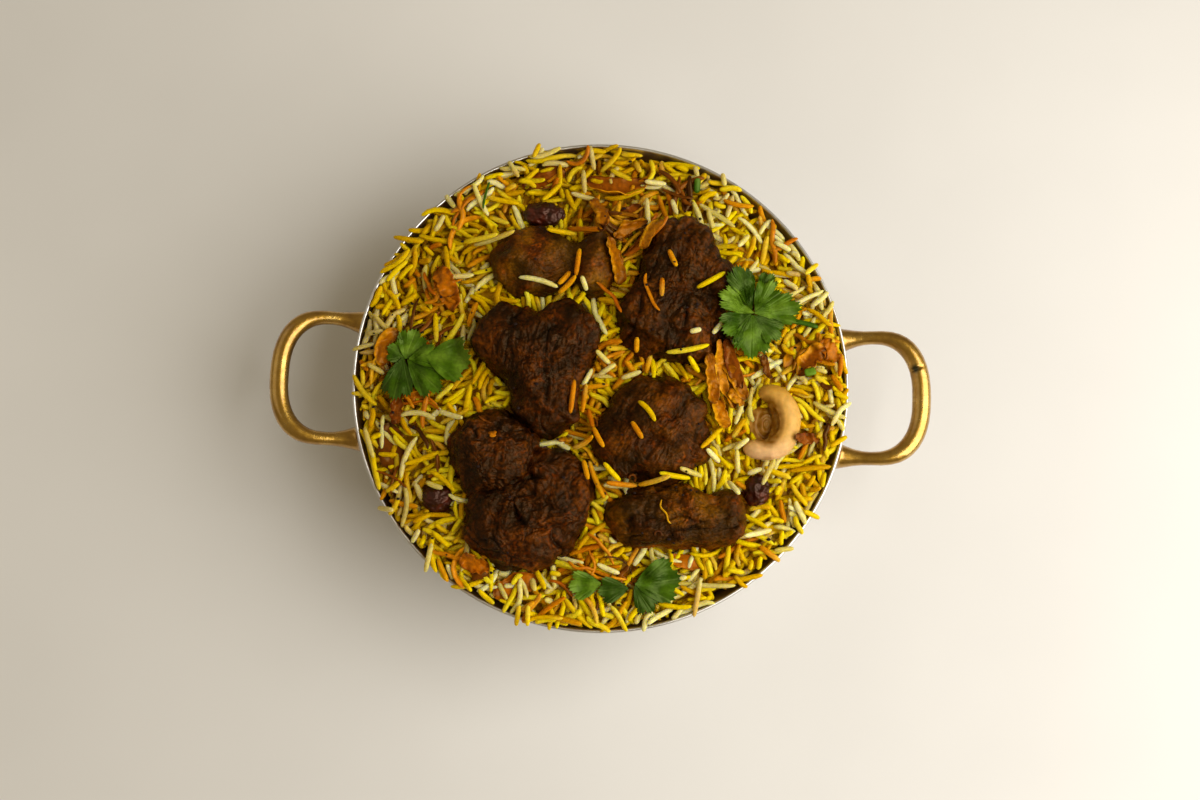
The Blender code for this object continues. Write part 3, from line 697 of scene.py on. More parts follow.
def food_skin(name, scale, detail, tones, bump, distance, breakup=0.5, reach=(0.3, 0.7),
              wet=False, **constants):
    """A food's skin: the mesh's own 'tint', flecked and made uneven by one fine noise."""
    skin = new_material(name, **constants)
    place = add_node(skin, "TexCoord")
    tint = add_node(skin, "Attribute", attribute_name="tint")
    fleck = add_node(skin, "TexNoise", {"Vector": place.outputs["Object"], "Scale": scale,
                                        "Detail": detail, "Roughness": breakup})
    tone = add_node(skin, "MapRange", {"Value": fleck.outputs["Fac"], "From Min": reach[0],
                                       "From Max": reach[1], "To Min": tones[0],
                                       "To Max": tones[1]})
    colour = add_node(skin, "VectorMath", {0: tint.outputs["Color"],
                                           "Scale": tone.outputs["Result"]}, operation="SCALE")
    uneven = add_node(skin, "Bump", {"Height": fleck.outputs["Fac"], "Strength": bump,
                                     "Distance": distance * MM})
    finish_shader(skin, Base_Color=colour.outputs["Vector"], Normal=uneven.outputs["Normal"])
    if wet:
        finish_shader(skin, Coat_Normal=uneven.outputs["Normal"])
    return skin


# Meat braised in spices and fried dark: nearly black on its crust and in its folds, whose dark
# is partly painted shade, red-brown where the flesh shows, with small wet glints where oil
# stands between dry patches.
browned = food_skin("browned_braised_meat", 1100.0, 4.0, (0.55, 1.45), 0.8, 0.4, breakup=0.7,
                    reach=(0.35, 0.65), wet=True, Coat_Weight=0.05, Coat_Roughness=0.12,
                    Specular_IOR_Level=0.22, Specular_Tint=(1.0, 0.52, 0.14, 1.0))
browned_place = add_node(browned, "TexCoord")
blotch = add_node(browned, "TexNoise", {"Vector": browned_place.outputs["Object"], "Scale": 230.0,
                                        "Detail": 3.0})
browned_rough = add_node(browned, "MapRange", {"Value": blotch.outputs["Fac"], "From Min": 0.35,
                                               "From Max": 0.65, "To Min": 0.26, "To Max": 0.68})
finish_shader(browned, Roughness=browned_rough.outputs["Result"])

meat_pieces = []
for meat_name, meat_facts in MEATS.items():
    meat = brown_meat(meat_name, *meat_facts)
    settle(meat, "browned_meat", meat_name)
    meat_pieces.append(meat)


# ---------------------------------------------------------------- cashew and raisins
# A fried cashew, a smooth bent nut painted darker in its hollow as shade, and three raisins,
# swollen in hot fat and then wrinkled, with a dark glossy skin.

NUT_BEND = (6.5, 10.7)       # half width and half depth of its middle line
NUT_SWEEP = (-160.0, 116.0)  # the line runs straight before -90 degrees
NUT_TAIL = 8.0               # length of that straight end
NUT_STEPS = 40
WEB_MIDDLE = (-1.9, -0.4, -2.2)  # of the shrunken skin that closes the hollow
WEB_HALF = (4.6, 7.4, 1.7)
nut_bm = bmesh.new()
nut_stations = []
for i in range(NUT_STEPS + 1):
    share = i / NUT_STEPS
    swept = NUT_SWEEP[0] + (NUT_SWEEP[1] - NUT_SWEEP[0]) * share
    turn = math.radians(max(-90.0, swept))
    tail = NUT_TAIL * min(0.0, swept + 90.0) / (NUT_SWEEP[0] + 90.0)
    taper = max(0.06, (1 - abs(2 * share - 1) ** 9)) ** 0.5
    half = (3.5 + 0.5 * share + 0.9 * math.sin(math.pi * share) ** 1.2) * taper
    centre = Vector((NUT_BEND[0] * math.cos(turn) - tail, NUT_BEND[1] * math.sin(turn), 0.0))
    out = Vector((NUT_BEND[1] * math.cos(turn), NUT_BEND[0] * math.sin(turn), 0.0)).normalized()
    nut_stations.append((centre, out, Vector((0, 0, 1)), half, half * 0.93))
loft(nut_bm, nut_stations, 24)
web = bmesh.ops.create_uvsphere(nut_bm, u_segments=32, v_segments=16, radius=1.0)
web_place = Matrix.Translation(WEB_MIDDLE) @ Matrix.Diagonal((*WEB_HALF, 1.0))
bmesh.ops.transform(nut_bm, matrix=web_place, verts=web["verts"])


def fit_to_box(bm, node):
    """Moves and scales a bmesh onto the box of the node it stands for."""
    points = np.array([vert.co for vert in bm.verts])
    low, high = (np.array(corner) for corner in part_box(node))
    scale = (high - low) / (points.max(axis=0) - points.min(axis=0))
    shift = low - points.min(axis=0) * scale
    for vert in bm.verts:
        vert.co = Vector(np.array(vert.co) * scale + shift)


fit_to_box(nut_bm, "cashew")

# A cashew fried in ghee: warm cream and faintly waxy, as light passes a little way into it,
# with darker specks where it toasted.
fried_nut = food_skin("fried_cashew", 700.0, 5.0, (0.88, 1.10), 0.2, 0.3,
                      Subsurface_Weight=0.15, Subsurface_Scale=1.5 * MM, Coat_Weight=0.06,
                      Coat_Roughness=0.3, Roughness=0.42, Specular_IOR_Level=0.35,
                      Specular_Tint=(1.0, 0.82, 0.45, 1.0))
cashew = finish_bmesh("fried_cashew", nut_bm, fried_nut)
melt(cashew, 0.45 * MM, 8)
cashew_low, cashew_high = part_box("cashew")
nut_middle = np.array((cashew_low + cashew_high) / 2) / MM
nut_points = read_points(cashew.data)
nut_seat = nut_points - nut_middle
hollow_reach = np.hypot((nut_seat[:, 0] - WEB_MIDDLE[0]) / WEB_HALF[0],
                        (nut_seat[:, 1] - WEB_MIDDLE[1]) / WEB_HALF[1])
nut_pleats = 1 - np.abs(noise(np.column_stack((hollow_reach * 3.4, nut_seat[:, 1] / 9.0,
                                               nut_seat[:, 2] / 4.0))) * 2.4)
nut_swell = (0.25 * noise(nut_points / 4.5) + 0.06 * noise(nut_points / 1.2)
             + 0.8 * cut_off((1.0 - hollow_reach) / 0.3) * (nut_pleats - 0.5))
nut_points = nut_points + read_vectors(cashew.data, "normal") * nut_swell[:, None]
write_points(cashew.data, nut_points)
nut_ends = [cut_off((way * nut_seat[:, 1] - 5.0) / 7.0) for way in (-1, 1)]
# Painted shade: the hollow and the inner flank beside it are painted dark brown.
nut_hollow_shade = cut_off(cut_off((1.34 - hollow_reach) / 0.34) * (0.92 + 0.4 * noise(nut_points / 1.6))
                    + 0.1 * noise(nut_points / 3.0))
# Paler and pinker towards the lower end as a painted highlight, more golden towards the upper end.
nut_colours = blend_colours("#d29f4c", "#dcae78", nut_ends[0])
nut_colours = blend_colours(nut_colours, "#b07c18", 0.75 * nut_ends[1])
nut_colours = blend_colours(nut_colours, "#804e00", nut_hollow_shade)
paint(cashew.data, nut_colours)
settle(cashew, "fried_cashew", "cashew")

# A raisin's skin, plumped and shrunk again: nearly black wine-red, glossy on its ridges.
dried_skin = new_material("raisin_skin", Roughness=0.40, Specular_IOR_Level=0.5,
                          Specular_Tint=(1.0, 0.60, 0.42, 1.0))
skin_place = add_node(dried_skin, "TexCoord")
skin_noise = add_node(dried_skin, "TexNoise", {"Vector": skin_place.outputs["Object"],
                                               "Scale": 320.0, "Detail": 4.0})
skin_tone = add_node(dried_skin, "ValToRGB", {"Fac": skin_noise.outputs["Fac"]},
                     stops=((0.30, "#140300"), (0.55, "#2e0902"), (0.75, "#541a06")))
finish_shader(dried_skin, Base_Color=skin_tone.outputs["Color"])
raisins = []
for raisin_name in ("raisin_1", "raisin_2", "raisin_3"):
    raisin_bm = bmesh.new()
    bmesh.ops.create_icosphere(raisin_bm, subdivisions=5, radius=1.0)
    fit_to_box(raisin_bm, raisin_name)
    raisin_points = np.array([vert.co for vert in raisin_bm.verts]) / MM
    wrinkles = 1 - np.abs(noise(raisin_points / 2.4)) * 2.2
    creases = 1 - np.abs(noise(raisin_points / 1.1 + 15.0)) * 2.0
    swells = 0.45 * noise(raisin_points / 3.3 + 5.0) + 0.46 * wrinkles + 0.26 * creases - 0.4
    raisin_bm.normal_update()
    normals = [vert.normal.copy() for vert in raisin_bm.verts]
    for vert, normal, swell in zip(raisin_bm.verts, normals, swells):
        vert.co += normal * swell * MM
    raisin = finish_bmesh("dried_" + raisin_name, raisin_bm, dried_skin)
    settle(raisin, "raisin_skin", raisin_name)
    raisins.append(raisin)


# ---------------------------------------------------------------- onion slices
# Slivers of an onion's layers, fried until they are amber and glassy in the middle and
# caramelised to red-brown along their edges.  The heat has cupped and ruffled them.

SLICES = {  # length, width, bend, turn and roll in mm and degrees, cup in mm, hue, raggedness
    "onion_1": (21.0, 7.4, 74.0, 180.0, 24.0, 2.9, "crescent", 0.2),
    "onion_2": (16.0, 7.0, 30.0, 26.0, -14.0, 0.9, "red"),
    "onion_3": (13.5, 7.0, 55.0, -58.0, 18.0, 1.0, "orange"),
    "onion_4": (12.5, 5.0, 170.0, 60.0, -10.0, 1.0, "amber"),
    "onion_5": (19.0, 9.0, 40.0, 104.0, 12.0, 1.4, "brown"),
    "onion_6": (18.5, 8.6, 50.0, 30.0, -18.0, 1.8, "amber"),
    "onion_7": (17.0, 6.0, 35.0, 97.0, 20.0, 1.2, "amber"),
    "onion_8": (15.5, 7.6, 25.0, 28.0, 12.0, 0.8, "orange"),
    "onion_9": (15.5, 5.0, 40.0, -8.0, -20.0, 0.8, "orange"),
    "onion_10": (15.0, 6.6, 45.0, 62.0, 16.0, 1.2, "red"),
    "onion_11": (13.0, 4.0, 190.0, 200.0, 10.0, 0.6, "orange"),
}
ONION_HUES = {  # middle, edge, darkest
    "crescent": ("#8a4402", "#e29408", "#481602"),
    "amber": ("#9a5602", "#cc8406", "#5a2602"),
    "gold": ("#bc7204", "#de9a0a", "#824002"),
    "orange": ("#b46202", "#a65602", "#5c2402"),
    "red": ("#884206", "#6a2a04", "#3a1202"),
    "brown": ("#6a3404", "#4c2002", "#240c02"),
}
SLICE_THICK = 0.7
SLICE_GRID = (60, 16)        # cells along a slice and across it

# Onion fried until its sugar caramelises: amber and half clear, glossy with fat, its
# edges red-brown to nearly black.
fried_onion = food_skin("fried_onion", 650.0, 4.0, (0.60, 1.18), 0.35, 0.3, Roughness=0.32,
                        Coat_Weight=0.04, Coat_Roughness=0.15, Subsurface_Weight=0.2,
                        Subsurface_Scale=1.2 * MM, Subsurface_Radius=(1.0, 0.75, 0.2),
                        Specular_IOR_Level=0.34, Specular_Tint=(1.0, 0.62, 0.14, 1.0))


def thicken(bm, thickness):
    """Turns an open sheet into a closed one by setting a second skin below it."""
    lower = bmesh.ops.extrude_face_region(bm, geom=bm.faces[:] + bm.edges[:] + bm.verts[:])
    for part in lower["geom"]:
        if isinstance(part, bmesh.types.BMVert):
            part.co.z -= thickness


def fry_slice(name, length, width, bend, turn, roll, cup, hue, rough=0.5, ground=None):
    """One cupped, ruffled and twisted sliver with darker edges, in its node or on the pile."""
    bm = bmesh.new()
    bmesh.ops.create_grid(bm, x_segments=SLICE_GRID[0], y_segments=SLICE_GRID[1], size=1.0)
    plan = np.array([vert.co for vert in bm.verts])
    u, v = plan[:, 0], plan[:, 1]
    seed = sum(map(ord, name))

    def curl(along, across, shift):
        """Noise over the slice, which another slice gets differently."""
        return noise(np.column_stack((u * along, across, np.full(len(u), seed * shift))))

    ruffle = curl(2.6, v * 0.9, 0.7)
    ragged = curl(4.5, np.sign(v) * 3.0, 1.3)
    nicks = curl(13.0, np.sign(v) * 5.0, 1.9)
    blunt, twisting = (2.6, 0.6) if ground is None else (7.0, 1.1)
    half = width / 2 * (1 - np.abs(u) ** blunt) ** 0.6
    half = half * (1 + rough * (0.45 * ragged + 0.14 * nicks)) + 0.3
    angle = math.radians(bend) * u / 2
    twist = 0.9 * u * math.sin(seed) + twisting * ruffle
    inner = length / math.radians(bend)
    radius = inner + v * half * np.cos(twist)
    rise = cup * (v ** 2 - 0.4) + 1.1 * ruffle + v * half * np.sin(twist)
    points = np.column_stack((radius * np.sin(angle), radius * np.cos(angle) - inner, rise))
    middle, edge, dark = ONION_HUES[hue]
    mottle = noise(points / 1.8)
    rim_share = cut_off((v - 0.35) * 2.2 + 0.5 * mottle)
    end_share = cut_off(np.abs(u) ** 4 * 1.1 + 0.6 * ragged + 0.6 * mottle - 0.2
                        - 0.5 * np.clip(v + 0.5, -0.6, 0))
    colours = blend_colours(blend_colours(middle, edge, rim_share), dark, end_share)
    tints = bm.verts.layers.float_color.new("tint")
    for vert, point, colour in zip(bm.verts, points, colours):
        vert.co = point
        vert[tints] = colour
    thicken(bm, SLICE_THICK)
    bm.transform(Matrix.Rotation(math.radians(turn), 4, "Z")
                 @ Matrix.Rotation(math.radians(roll), 4, "X"))
    if ground is None:
        fit_to_box(bm, name)
    else:
        drape(bm, *ground)
    return finish_bmesh("fried_" + name, bm, fried_onion)


slices = []
for slice_name, slice_shape in SLICES.items():
    fried_slice = fry_slice(slice_name, *slice_shape)
    settle(fried_slice, "fried_onion", slice_name)
    slices.append(fried_slice)


# ---------------------------------------------------------------- loose rice and strands
# Long-grain rice, steamed and tossed with saffron water: most grains are yellow, some
# stayed cream, some took up orange from the meat's juices.  Threads of fried onion lie
# among them.  Each one is dropped on the pile and comes to rest on what lies below.

CELL = 0.5                   # millimetres between the pile's height samples
HALF_FIELD = 100.0
FAR_BELOW = -99.0            # stands for no height at all
INNER_WALL, RIM_INSIDE, RIM_OUTSIDE = 84.9, 86.2, 87.6
GRAIN_COUNT = 6400           # tries; where the pile is full, none is laid
EDGE_GRAINS = 620            # more of them along the wall, some with an end on the rim
GRAIN_HALF_WIDTH = (0.84, 1.14)
GRAIN_HALF_THICK = (0.64, 0.82)
SINK = 0.35                  # soft grains press into one another
GRAIN_RINGS = 7
STRAND_RINGS = 13
SLOPES = np.linspace(-0.6, 0.6, 25)
draw = np.random.RandomState(42)

field_line = np.arange(-HALF_FIELD, HALF_FIELD + CELL, CELL)
field_x, field_y = np.meshgrid(field_line, field_line, indexing="ij")
field_reach = np.hypot(field_x, field_y)
pile = heap_height(field_x, field_y) - CORE_DEPTH / MM
for ring, ring_height in ((INNER_WALL, -3.0), (RIM_INSIDE, 0.0), (RIM_OUTSIDE, -30.0)):
    pile[field_reach > ring] = ring_height


def field_noise(size, shift):
    """Soft patches of about a size in mm, one value for each cell of the field."""
    flat = np.column_stack((field_x.ravel(), field_y.ravel(), np.full(field_x.size, shift * size)))
    return noise(flat / size).reshape(field_x.shape)


drift, pale_patch, oily_patch = field_noise(16.0, 20.0), field_noise(7.0, 4.0), field_noise(8.0, 9.0)


def field_cells(x, y):
    return (np.rint((np.asarray(x) + HALF_FIELD) / CELL).astype(int),
            np.rint((np.asarray(y) + HALF_FIELD) / CELL).astype(int))


def disc(radius):
    """Steps to the field's cells within a radius."""
    line = np.arange(-int(radius / CELL), int(radius / CELL) + 1)
    dx, dy = np.meshgrid(line, line)
    keep = np.hypot(dx, dy) * CELL <= radius
    return dx[keep], dy[keep]


def cover(pieces):
    """The top of some pieces over each cell of the field, FAR_BELOW where none lies."""
    top = np.full(pile.shape, FAR_BELOW)
    for piece in pieces:
        points = read_points(piece.data)
        ix, iy = field_cells(points[:, 0], points[:, 1])
        for dx, dy in zip(*disc(1.0)):
            np.maximum.at(top, (ix + dx, iy + dy), points[:, 2] - rim_height / MM)
    return top


def arc(x, y, yaw, length, bend, stations):
    """Points along an arc as seen from above, stations running from -1 to 1."""
    turn = yaw + bend * stations / 2
    if abs(bend) < 0.02:
        return x + stations * length / 2 * math.cos(yaw), y + stations * length / 2 * math.sin(yaw)
    radius = length / bend
    return x + radius * (np.sin(turn) - math.sin(yaw)), y - radius * (np.cos(turn) - math.cos(yaw))


def rest(heights, x, y, length, stations, reach):
    """The ground under each station, and the straight line that would rest on it."""
    ix, iy = field_cells(x, y)
    dx, dy = disc(reach)
    ground = heights[ix[:, None] + dx, iy[:, None] + dy].max(axis=1)
    walked = stations * length / 2
    bases = (ground - SLOPES[:, None] * walked).max(axis=1)
    best = bases.argmin()
    return ground, bases[best] + SLOPES[best] * walked


def lay(heights, x, y, length, stations, half_width, half_thick, stiffness):
    """Lets one grain or strand come to rest and raises the pile by it; gives its middle line."""
    ground, line = rest(heights, x, y, length, stations, 0.8 * half_width)
    sunk = np.maximum(ground, line - 2.5)
    level = stiffness * line + (1 - stiffness) * sunk - SINK
    for _ in range(2):
        level[1:-1] = (level[:-2] + 2 * level[1:-1] + level[2:]) / 4
    level = level + half_thick
    finer = np.linspace(-1, 1, 4 * len(stations))
    fx, fy, fz = (np.interp(finer, stations, values) for values in (x, y, level))
    ix, iy = field_cells(fx, fy)
    dx, dy = disc(0.85 * half_width)
    np.maximum.at(heights, (ix[:, None] + dx, iy[:, None] + dy), fz[:, None] + 0.8 * half_thick)
    return np.column_stack((x, y, level))


def stations_for(rings):
    return -np.cos(np.pi * np.arange(rings + 1) / rings)


def shades(low, high, count, mottle):
    """Colours along one tube, between two hex colours, mottled by a share."""
    low, high = (np.array(linear(colour)) for colour in (low, high))
    mix = draw.uniform(0, 1) + mottle * draw.uniform(-1, 1, count).cumsum() / math.sqrt(count)
    return blend_colours(low, high, np.clip(mix, 0, 1))


GRAIN_ENDS = ("#dcc850", "#d8a400", "#c07a04")
GRAIN_HUES = {"yellow": ("#d2a800", "#eac600"), "golden": ("#b88600", "#d4a400"),
              "lemon": ("#d8b600", "#e8cc20"), "cream": ("#c6b460", "#e8da96"),
              "orange": ("#b46404", "#d49008")}
# Where grains are soaked in juice, pale, orange or darkened: middle (x, y) and reach in
# mm.  The darkened spots are juice stains at the top and painted shade along the left side.
# A spot that stands twice counts double.
SOAKED_SPOTS = ((-10, 38, 9), (12, 14, 8), (-6, -10, 9), (16, -36, 9), (14, -12, 9), (32, 12, 7))
PALE_SPOTS = ((76, 32, 8), (76, 32, 8), (-68, -47, 11), (-30, -73, 13), (24, -74, 15), (-78, 18, 6))
JUICY_SPOTS = ((-57, 28, 8), (0, 36, 8), (0, 8, 8), (0, -36, 8), (43, 6, 8), (6, 60, 15),
               (-8, 60, 8), (-70, 2, 8), (-4, -64, 8), (74, 12, 7))
STAIN_AND_SHADE_SPOTS = ((-8, 74, 20), (-80, 4, 20), (-80, 4, 14), (-68, -44, 16), (-62, 48, 14),
                 (4, 58, 10), (30, 72, 10), (-8, 74, 12))


def spot_share(x, y, spots):
    return sum(math.exp(-((x - sx) ** 2 + (y - sy) ** 2) / size ** 2) for sx, sy, size in spots)


def grain_kind(x, y):
    chance = draw.uniform()
    here = field_cells(x, y)
    cream = max(0.04, 0.13 + 0.50 * min(1.6, spot_share(x, y, PALE_SPOTS)) + 0.70 * pale_patch[here])
    orange = max(0.03, 0.07 + 0.45 * min(1.0, spot_share(x, y, JUICY_SPOTS)) + 0.25 * oily_patch[here])
    orange = orange + 0.5 * min(1.0, spot_share(x, y, SOAKED_SPOTS))
    if chance < cream + orange:
        return "cream" if chance < cream else "orange"
    if draw.uniform() < 0.32 + 0.4 * pale_patch[here]:
        return "lemon"
    return "golden" if draw.uniform() < 0.34 + 0.6 * oily_patch[here] else "yellow"


meat_top = cover(meat_pieces)
topping_top = cover(slices + [cashew] + raisins)
under_meat = meat_top > pile + 5.0
nut_x, nut_y = nut_middle[0] - 2.3, nut_middle[1] - 0.4
under_nut = np.hypot((field_x - nut_x) / 6.0, (field_y - nut_y) / 8.5) < 1.0
under_topping = cover([slices[0], slices[1], slices[7], cashew] + raisins) > FAR_BELOW
kept_clear = cover([cashew, slices[0], slices[1]]) > FAR_BELOW
for dx, dy in zip(*disc(2.5)):
    under_topping |= np.roll(kept_clear, (dx, dy), (0, 1))
target = heap_height(field_x, field_y)
grain_stations = stations_for(GRAIN_RINGS)
strand_stations = stations_for(STRAND_RINGS)
grains = {kind: [] for kind in GRAIN_HUES}


def grain_tint(kind, depth_shade, x, y):
    """Colours along a grain: its own hue, one end bleached or stained, amber painted as shade the lower it
    lies, and darkened at stain and shade spots.
    """
    tint = shades(*GRAIN_HUES[kind], GRAIN_RINGS + 1, 0.35)
    run = np.clip(draw.uniform(-0.6, 1.0) + draw.choice((-1, 1)) * grain_stations, 0, 1)
    other = GRAIN_ENDS[draw.choice(len(GRAIN_ENDS), p=(0.5, 0.3, 0.2))]
    tint = blend_colours(tint, other, draw.uniform(0.0, 0.50) * run)
    # Painted shade: the deeper a grain lies, the more amber it is painted.
    tint = blend_colours(tint, "#dca800", np.full(len(run), depth_shade))
    # Stains and painted shade darken the grain at those spots.
    return tint * (1 - min(1.0, spot_share(x, y, STAIN_AND_SHADE_SPOTS)) * np.array((0.26, 0.32, 0.40, 0.0)))


DROP_REACH = 85.2            # grains are dropped inside this radius
EDGE_REACH = 86.0            # past this, only some may reach
OUTER_REACH = 88.5           # and none past this
GRAIN_LENGTHS = ((10.5, 16.5), (7.0, 10.5), (3.5, 7.0))     # whole, chipped and broken
LENGTH_SHARES = (0.60, 0.27, 0.13)


def drop_grain(heights, blocked, inner, tries, limit):
    """Drops one grain where the pile is lowest of a few tries, unless the pile is full there."""
    best = None
    for _ in range(tries):
        away = math.sqrt(draw.uniform(inner ** 2, DROP_REACH ** 2))
        azimuth = draw.uniform(0, math.tau)
        x, y = away * math.cos(azimuth), away * math.sin(azimuth)
        here = field_cells(x, y)
        if blocked[here]:
            continue
        length = draw.choice([draw.uniform(*span) for span in GRAIN_LENGTHS], p=LENGTH_SHARES)
        yaw = 0.9 + 5.0 * drift[here] + draw.normal(0, 0.65)
        bend = draw.normal(0, 0.50)
        px, py = arc(x, y, yaw, length, bend, grain_stations)
        kink = 0.035 * length * draw.normal() * np.sin(3.0 * grain_stations + draw.uniform(-1.5, 1.5))
        px, py = px - kink * math.sin(yaw), py + kink * math.cos(yaw)
        edge = np.hypot(px, py).max()
        if edge > OUTER_REACH or (edge > EDGE_REACH and draw.uniform() > 0.45):
            continue
        _, line = rest(heights, px, py, length, grain_stations, 0.8)
        excess = line.mean() - target[here] - 3.0 * max(0.0, (math.hypot(x, y) - 70.0) / 14.0)
        if best is None or excess < best[0]:
            best = (excess, px, py, length, x, y)
    if best is None or best[0] > limit:
        return
    excess, px, py, length, x, y = best
    half_width, half_thick = draw.uniform(*GRAIN_HALF_WIDTH), draw.uniform(*GRAIN_HALF_THICK)
    middle = lay(heights, px, py, length, grain_stations, half_width, half_thick, 0.5)
    kind = grain_kind(x, y)
    # How far the grain lies below the heap's outline sets how much amber shade is painted on it.
    depth_shade = min(0.8, max(0.0, -0.22 * excess - 0.15))
    lean = draw.uniform(-0.4, 0.4)
    grains[kind].append((middle, half_width, half_thick, lean, grain_tint(kind, depth_shade, x, y)))


for _ in range(GRAIN_COUNT):
    drop_grain(pile, under_meat | under_nut, 0.0, 10, draw.uniform(-0.8, 0.8))
for _ in range(EDGE_GRAINS):
    drop_grain(pile, under_meat, 78.0, 6, draw.uniform(-0.4, 1.0))


# ---------------------------------------------------------------- onion threads and last grains
# Thin threads of fried onion scattered over the rice, and the grains that fell last and
# lie on the meat and the garnish.  The last of all are set down one by one.

STRAND_HUES = {"amber": ("#9a5c04", "#dca010"), "brown": ("#3a1602", "#7e4006"),
               "orange": ("#a85404", "#d48608")}
STRAND_PATCHES = (  # middle (x, y), spread, count, hue
    (4, 57, 8, 26, "amber"), (6, 56, 8, 6, "brown"), (12, 52, 7, 8, "orange"),
    (9, 73, 7, 5, "orange"), (-57, 30, 5, 7, "orange"), (-66, 14, 7, 7, "brown"),
    (-79, 6, 6, 6, "amber"), (-63, -8, 5, 5, "orange"), (0, 32, 8, 9, "amber"),
    (0, 8, 6, 6, "orange"), (-2, -25, 6, 5, "amber"), (30, 10, 5, 3, "amber"),
    (43, 4, 7, 5, "amber"), (74, 12, 7, 3, "amber"), (-62, -30, 8, 5, "brown"),
    (-45, -66, 7, 6, "orange"), (0, -64, 7, 7, "orange"), (30, 72, 6, 6, "brown"),
    (72, -20, 6, 4, "brown"), (-30, 70, 7, 7, "brown"), (55, 0, 6, 5, "orange"),
    (-52, 62, 6, 5, "orange"), (12, -74, 6, 4, "brown"), (60, 55, 8, 4, "orange"),
    (-76, -36, 6, 4, "brown"))
THREAD_REACH = 86.5
TOP_GRAINS = 130             # tries in each of two rounds
strands = []


def drop_strand(heights, x, y, yaw, length, bend, half_width, hue, keep_off):
    px, py = arc(x, y, yaw, length, bend, strand_stations)
    wave = draw.uniform(0.1, 0.5) * np.sin(draw.uniform(0.8, 2.2) * np.pi * strand_stations
                                           + draw.uniform(0, math.tau))
    px, py = px - wave * math.sin(yaw), py + wave * math.cos(yaw)
    if keep_off is not None and (np.hypot(px, py).max() > THREAD_REACH
                                 or keep_off[field_cells(px, py)].mean() > 0.2):
        return
    middle = lay(heights, px, py, length, strand_stations, max(0.6, half_width), 0.35, 0.35)
    tint = shades(*STRAND_HUES[hue], STRAND_RINGS + 1, 0.8)
    strands.append((middle, half_width, 0.32, draw.uniform(-0.7, 0.7), tint))


everything = np.maximum(pile, np.maximum(meat_top, topping_top))
for half_round in range(2):
    for patch_x, patch_y, spread, count, hue in STRAND_PATCHES:
        for _ in range((count + half_round) // 2):
            x, y = draw.normal((patch_x, patch_y), spread * 0.6)
            drop_strand(everything, x, y, draw.uniform(0, math.pi), draw.uniform(8, 20),
                        draw.normal(0, 1.0), draw.uniform(0.45, 1.15), hue, under_meat | under_topping)
    top_blocked = (meat_top > pile + 1.0) | under_topping
    for _ in range(TOP_GRAINS):
        drop_grain(everything, top_blocked, 0.0, 4, draw.uniform(0.0, 1.8))

PLACED_GRAINS = {  # ends (x, y) and (x, y), then the whole bend in radians
    "cream": (
        (-47, 47, -32, 51, 0.2), (-61, 52, -58, 58, 0.2), (-48, 70, -42, 58, 0.3), (-36, 79, -32, 73, 0),
        (-7, 86, -5, 77, 0), (-9, 77, -8, 68, 0.1), (-13, 68, -4, 66, 0.2), (-30, 34, -16, 31, -0.5),
        (-8, 35, -6, 30, 0), (-56, 35, -46, 36, 0.1), (-49, 10, -49, 18, 0.1), (-83, 14, -77, 15, 0),
        (-81, 21, -73, 14, 0.4), (-82, 3, -76, 0, 0), (14, 67, 15, 55, 0.1), (23, 67, 25, 61, 0),
        (13, 73, 21, 73, 0), (31, 80, 32, 76, 0), (41, 78, 42, 73, 0), (36, 64, 38, 57, 0),
        (47, 50, 51, 55, 0), (60, 53, 66, 50, 0), (30, 16, 34, 17, 0), (38, 16, 42, 21, 0),
        (7, 0, 14, 3, 0.1), (-2, 9, 3, 5, 0), (-1, 1, 5, 5, 0), (-70, -15, -57, -16, -1.1),
        (-56, -13, -47, -16, 0.2), (-63, -22, -68, -37, 0.7), (-82, -19, -78, -30, 0.1),
        (-59, -38, -53, -40, 0.4), (-76, -47, -70, -48, 0), (-58, -69, -56, -59, 0),
        (28, -31, 36, -33, 0.1), (37, -24, 42, -28, 0), (47, -23, 52, -19, 0), (48, -23, 49, -31, 0.2),
        (52, -31, 57, -29, 0), (57, -35, 61, -26, 0), (45, -34, 49, -39, 0), (51, -53, 61, -50, 0.1),
        (62, -57, 69, -56, 0), (35, -81, 37, -67, 0), (1, -64, 9, -67, 0.2)),
    "yellow": (
        (-51, 48, -38, 50, 0.1), (-76, 50, -65, 48, 0), (-27, 80, -25, 86, 0), (-23, 64, -17, 71, 0.1),
        (-43, 65, -31, 63, 0.1), (-57, 47, -55, 36, 0), (-77, 33, -70, 41, -0.3), (-77, 30, -72, 23, -0.8),
        (-55, 11, -49, 22, 0.4), (-59, 22, -58, 11, 0), (71, 41, 76, 46, 0), (32, 32, 42, 38, 0.1),
        (22, 9, 37, 12, 0.3), (30, 8, 34, 3, 0.1), (-67, -32, -55, -27, 0.2), (-58, -34, -49, -41, -0.5),
        (-63, -52, -57, -49, 0), (-56, -55, -50, -60, 0), (-26, -86, -25, -79, 0), (-22, -86, -22, -79, 0),
        (35, -24, 43, -15, 0.1), (21, -33, 32, -34, 0.2), (2, -30, 8, -36, 0.2), (81, -20, 87, -16, 0),
        (82, -1, 87, -3, 0), (72, -43, 78, -45, 0), (13, -9, 19, -16, -0.7), (-21, 52, -10, 52, 0.1)),
    "orange": (
        (-14, 54, -1, 52, 0.1), (-9, 45, -10, 35, 0), (-10, 35, -16, 29, -0.3), (-16, 32, -12, 37, 0.2),
        (22, 45, 25, 39, 0.2), (20, 35, 20, 28, 0), (12, 14, 12, 9, 0), (11, -16, 15, -22, 0),
        (3, -37, 14, -37, 0.1), (14, -37, 25, -34, 0.2), (-54, -64, -50, -72, 0), (-3, -29, 3, -42, 0.3),
        (-5, -29, -3, -36, 0), (-4, -11, -2, -18, 0.1), (-2, -18, 2, -25, 0.2), (-9, -25, -2, -21, 0.7),
        (-9, -2, -10, -14, 0), (-5, -2, -6, -13, 0)),
}


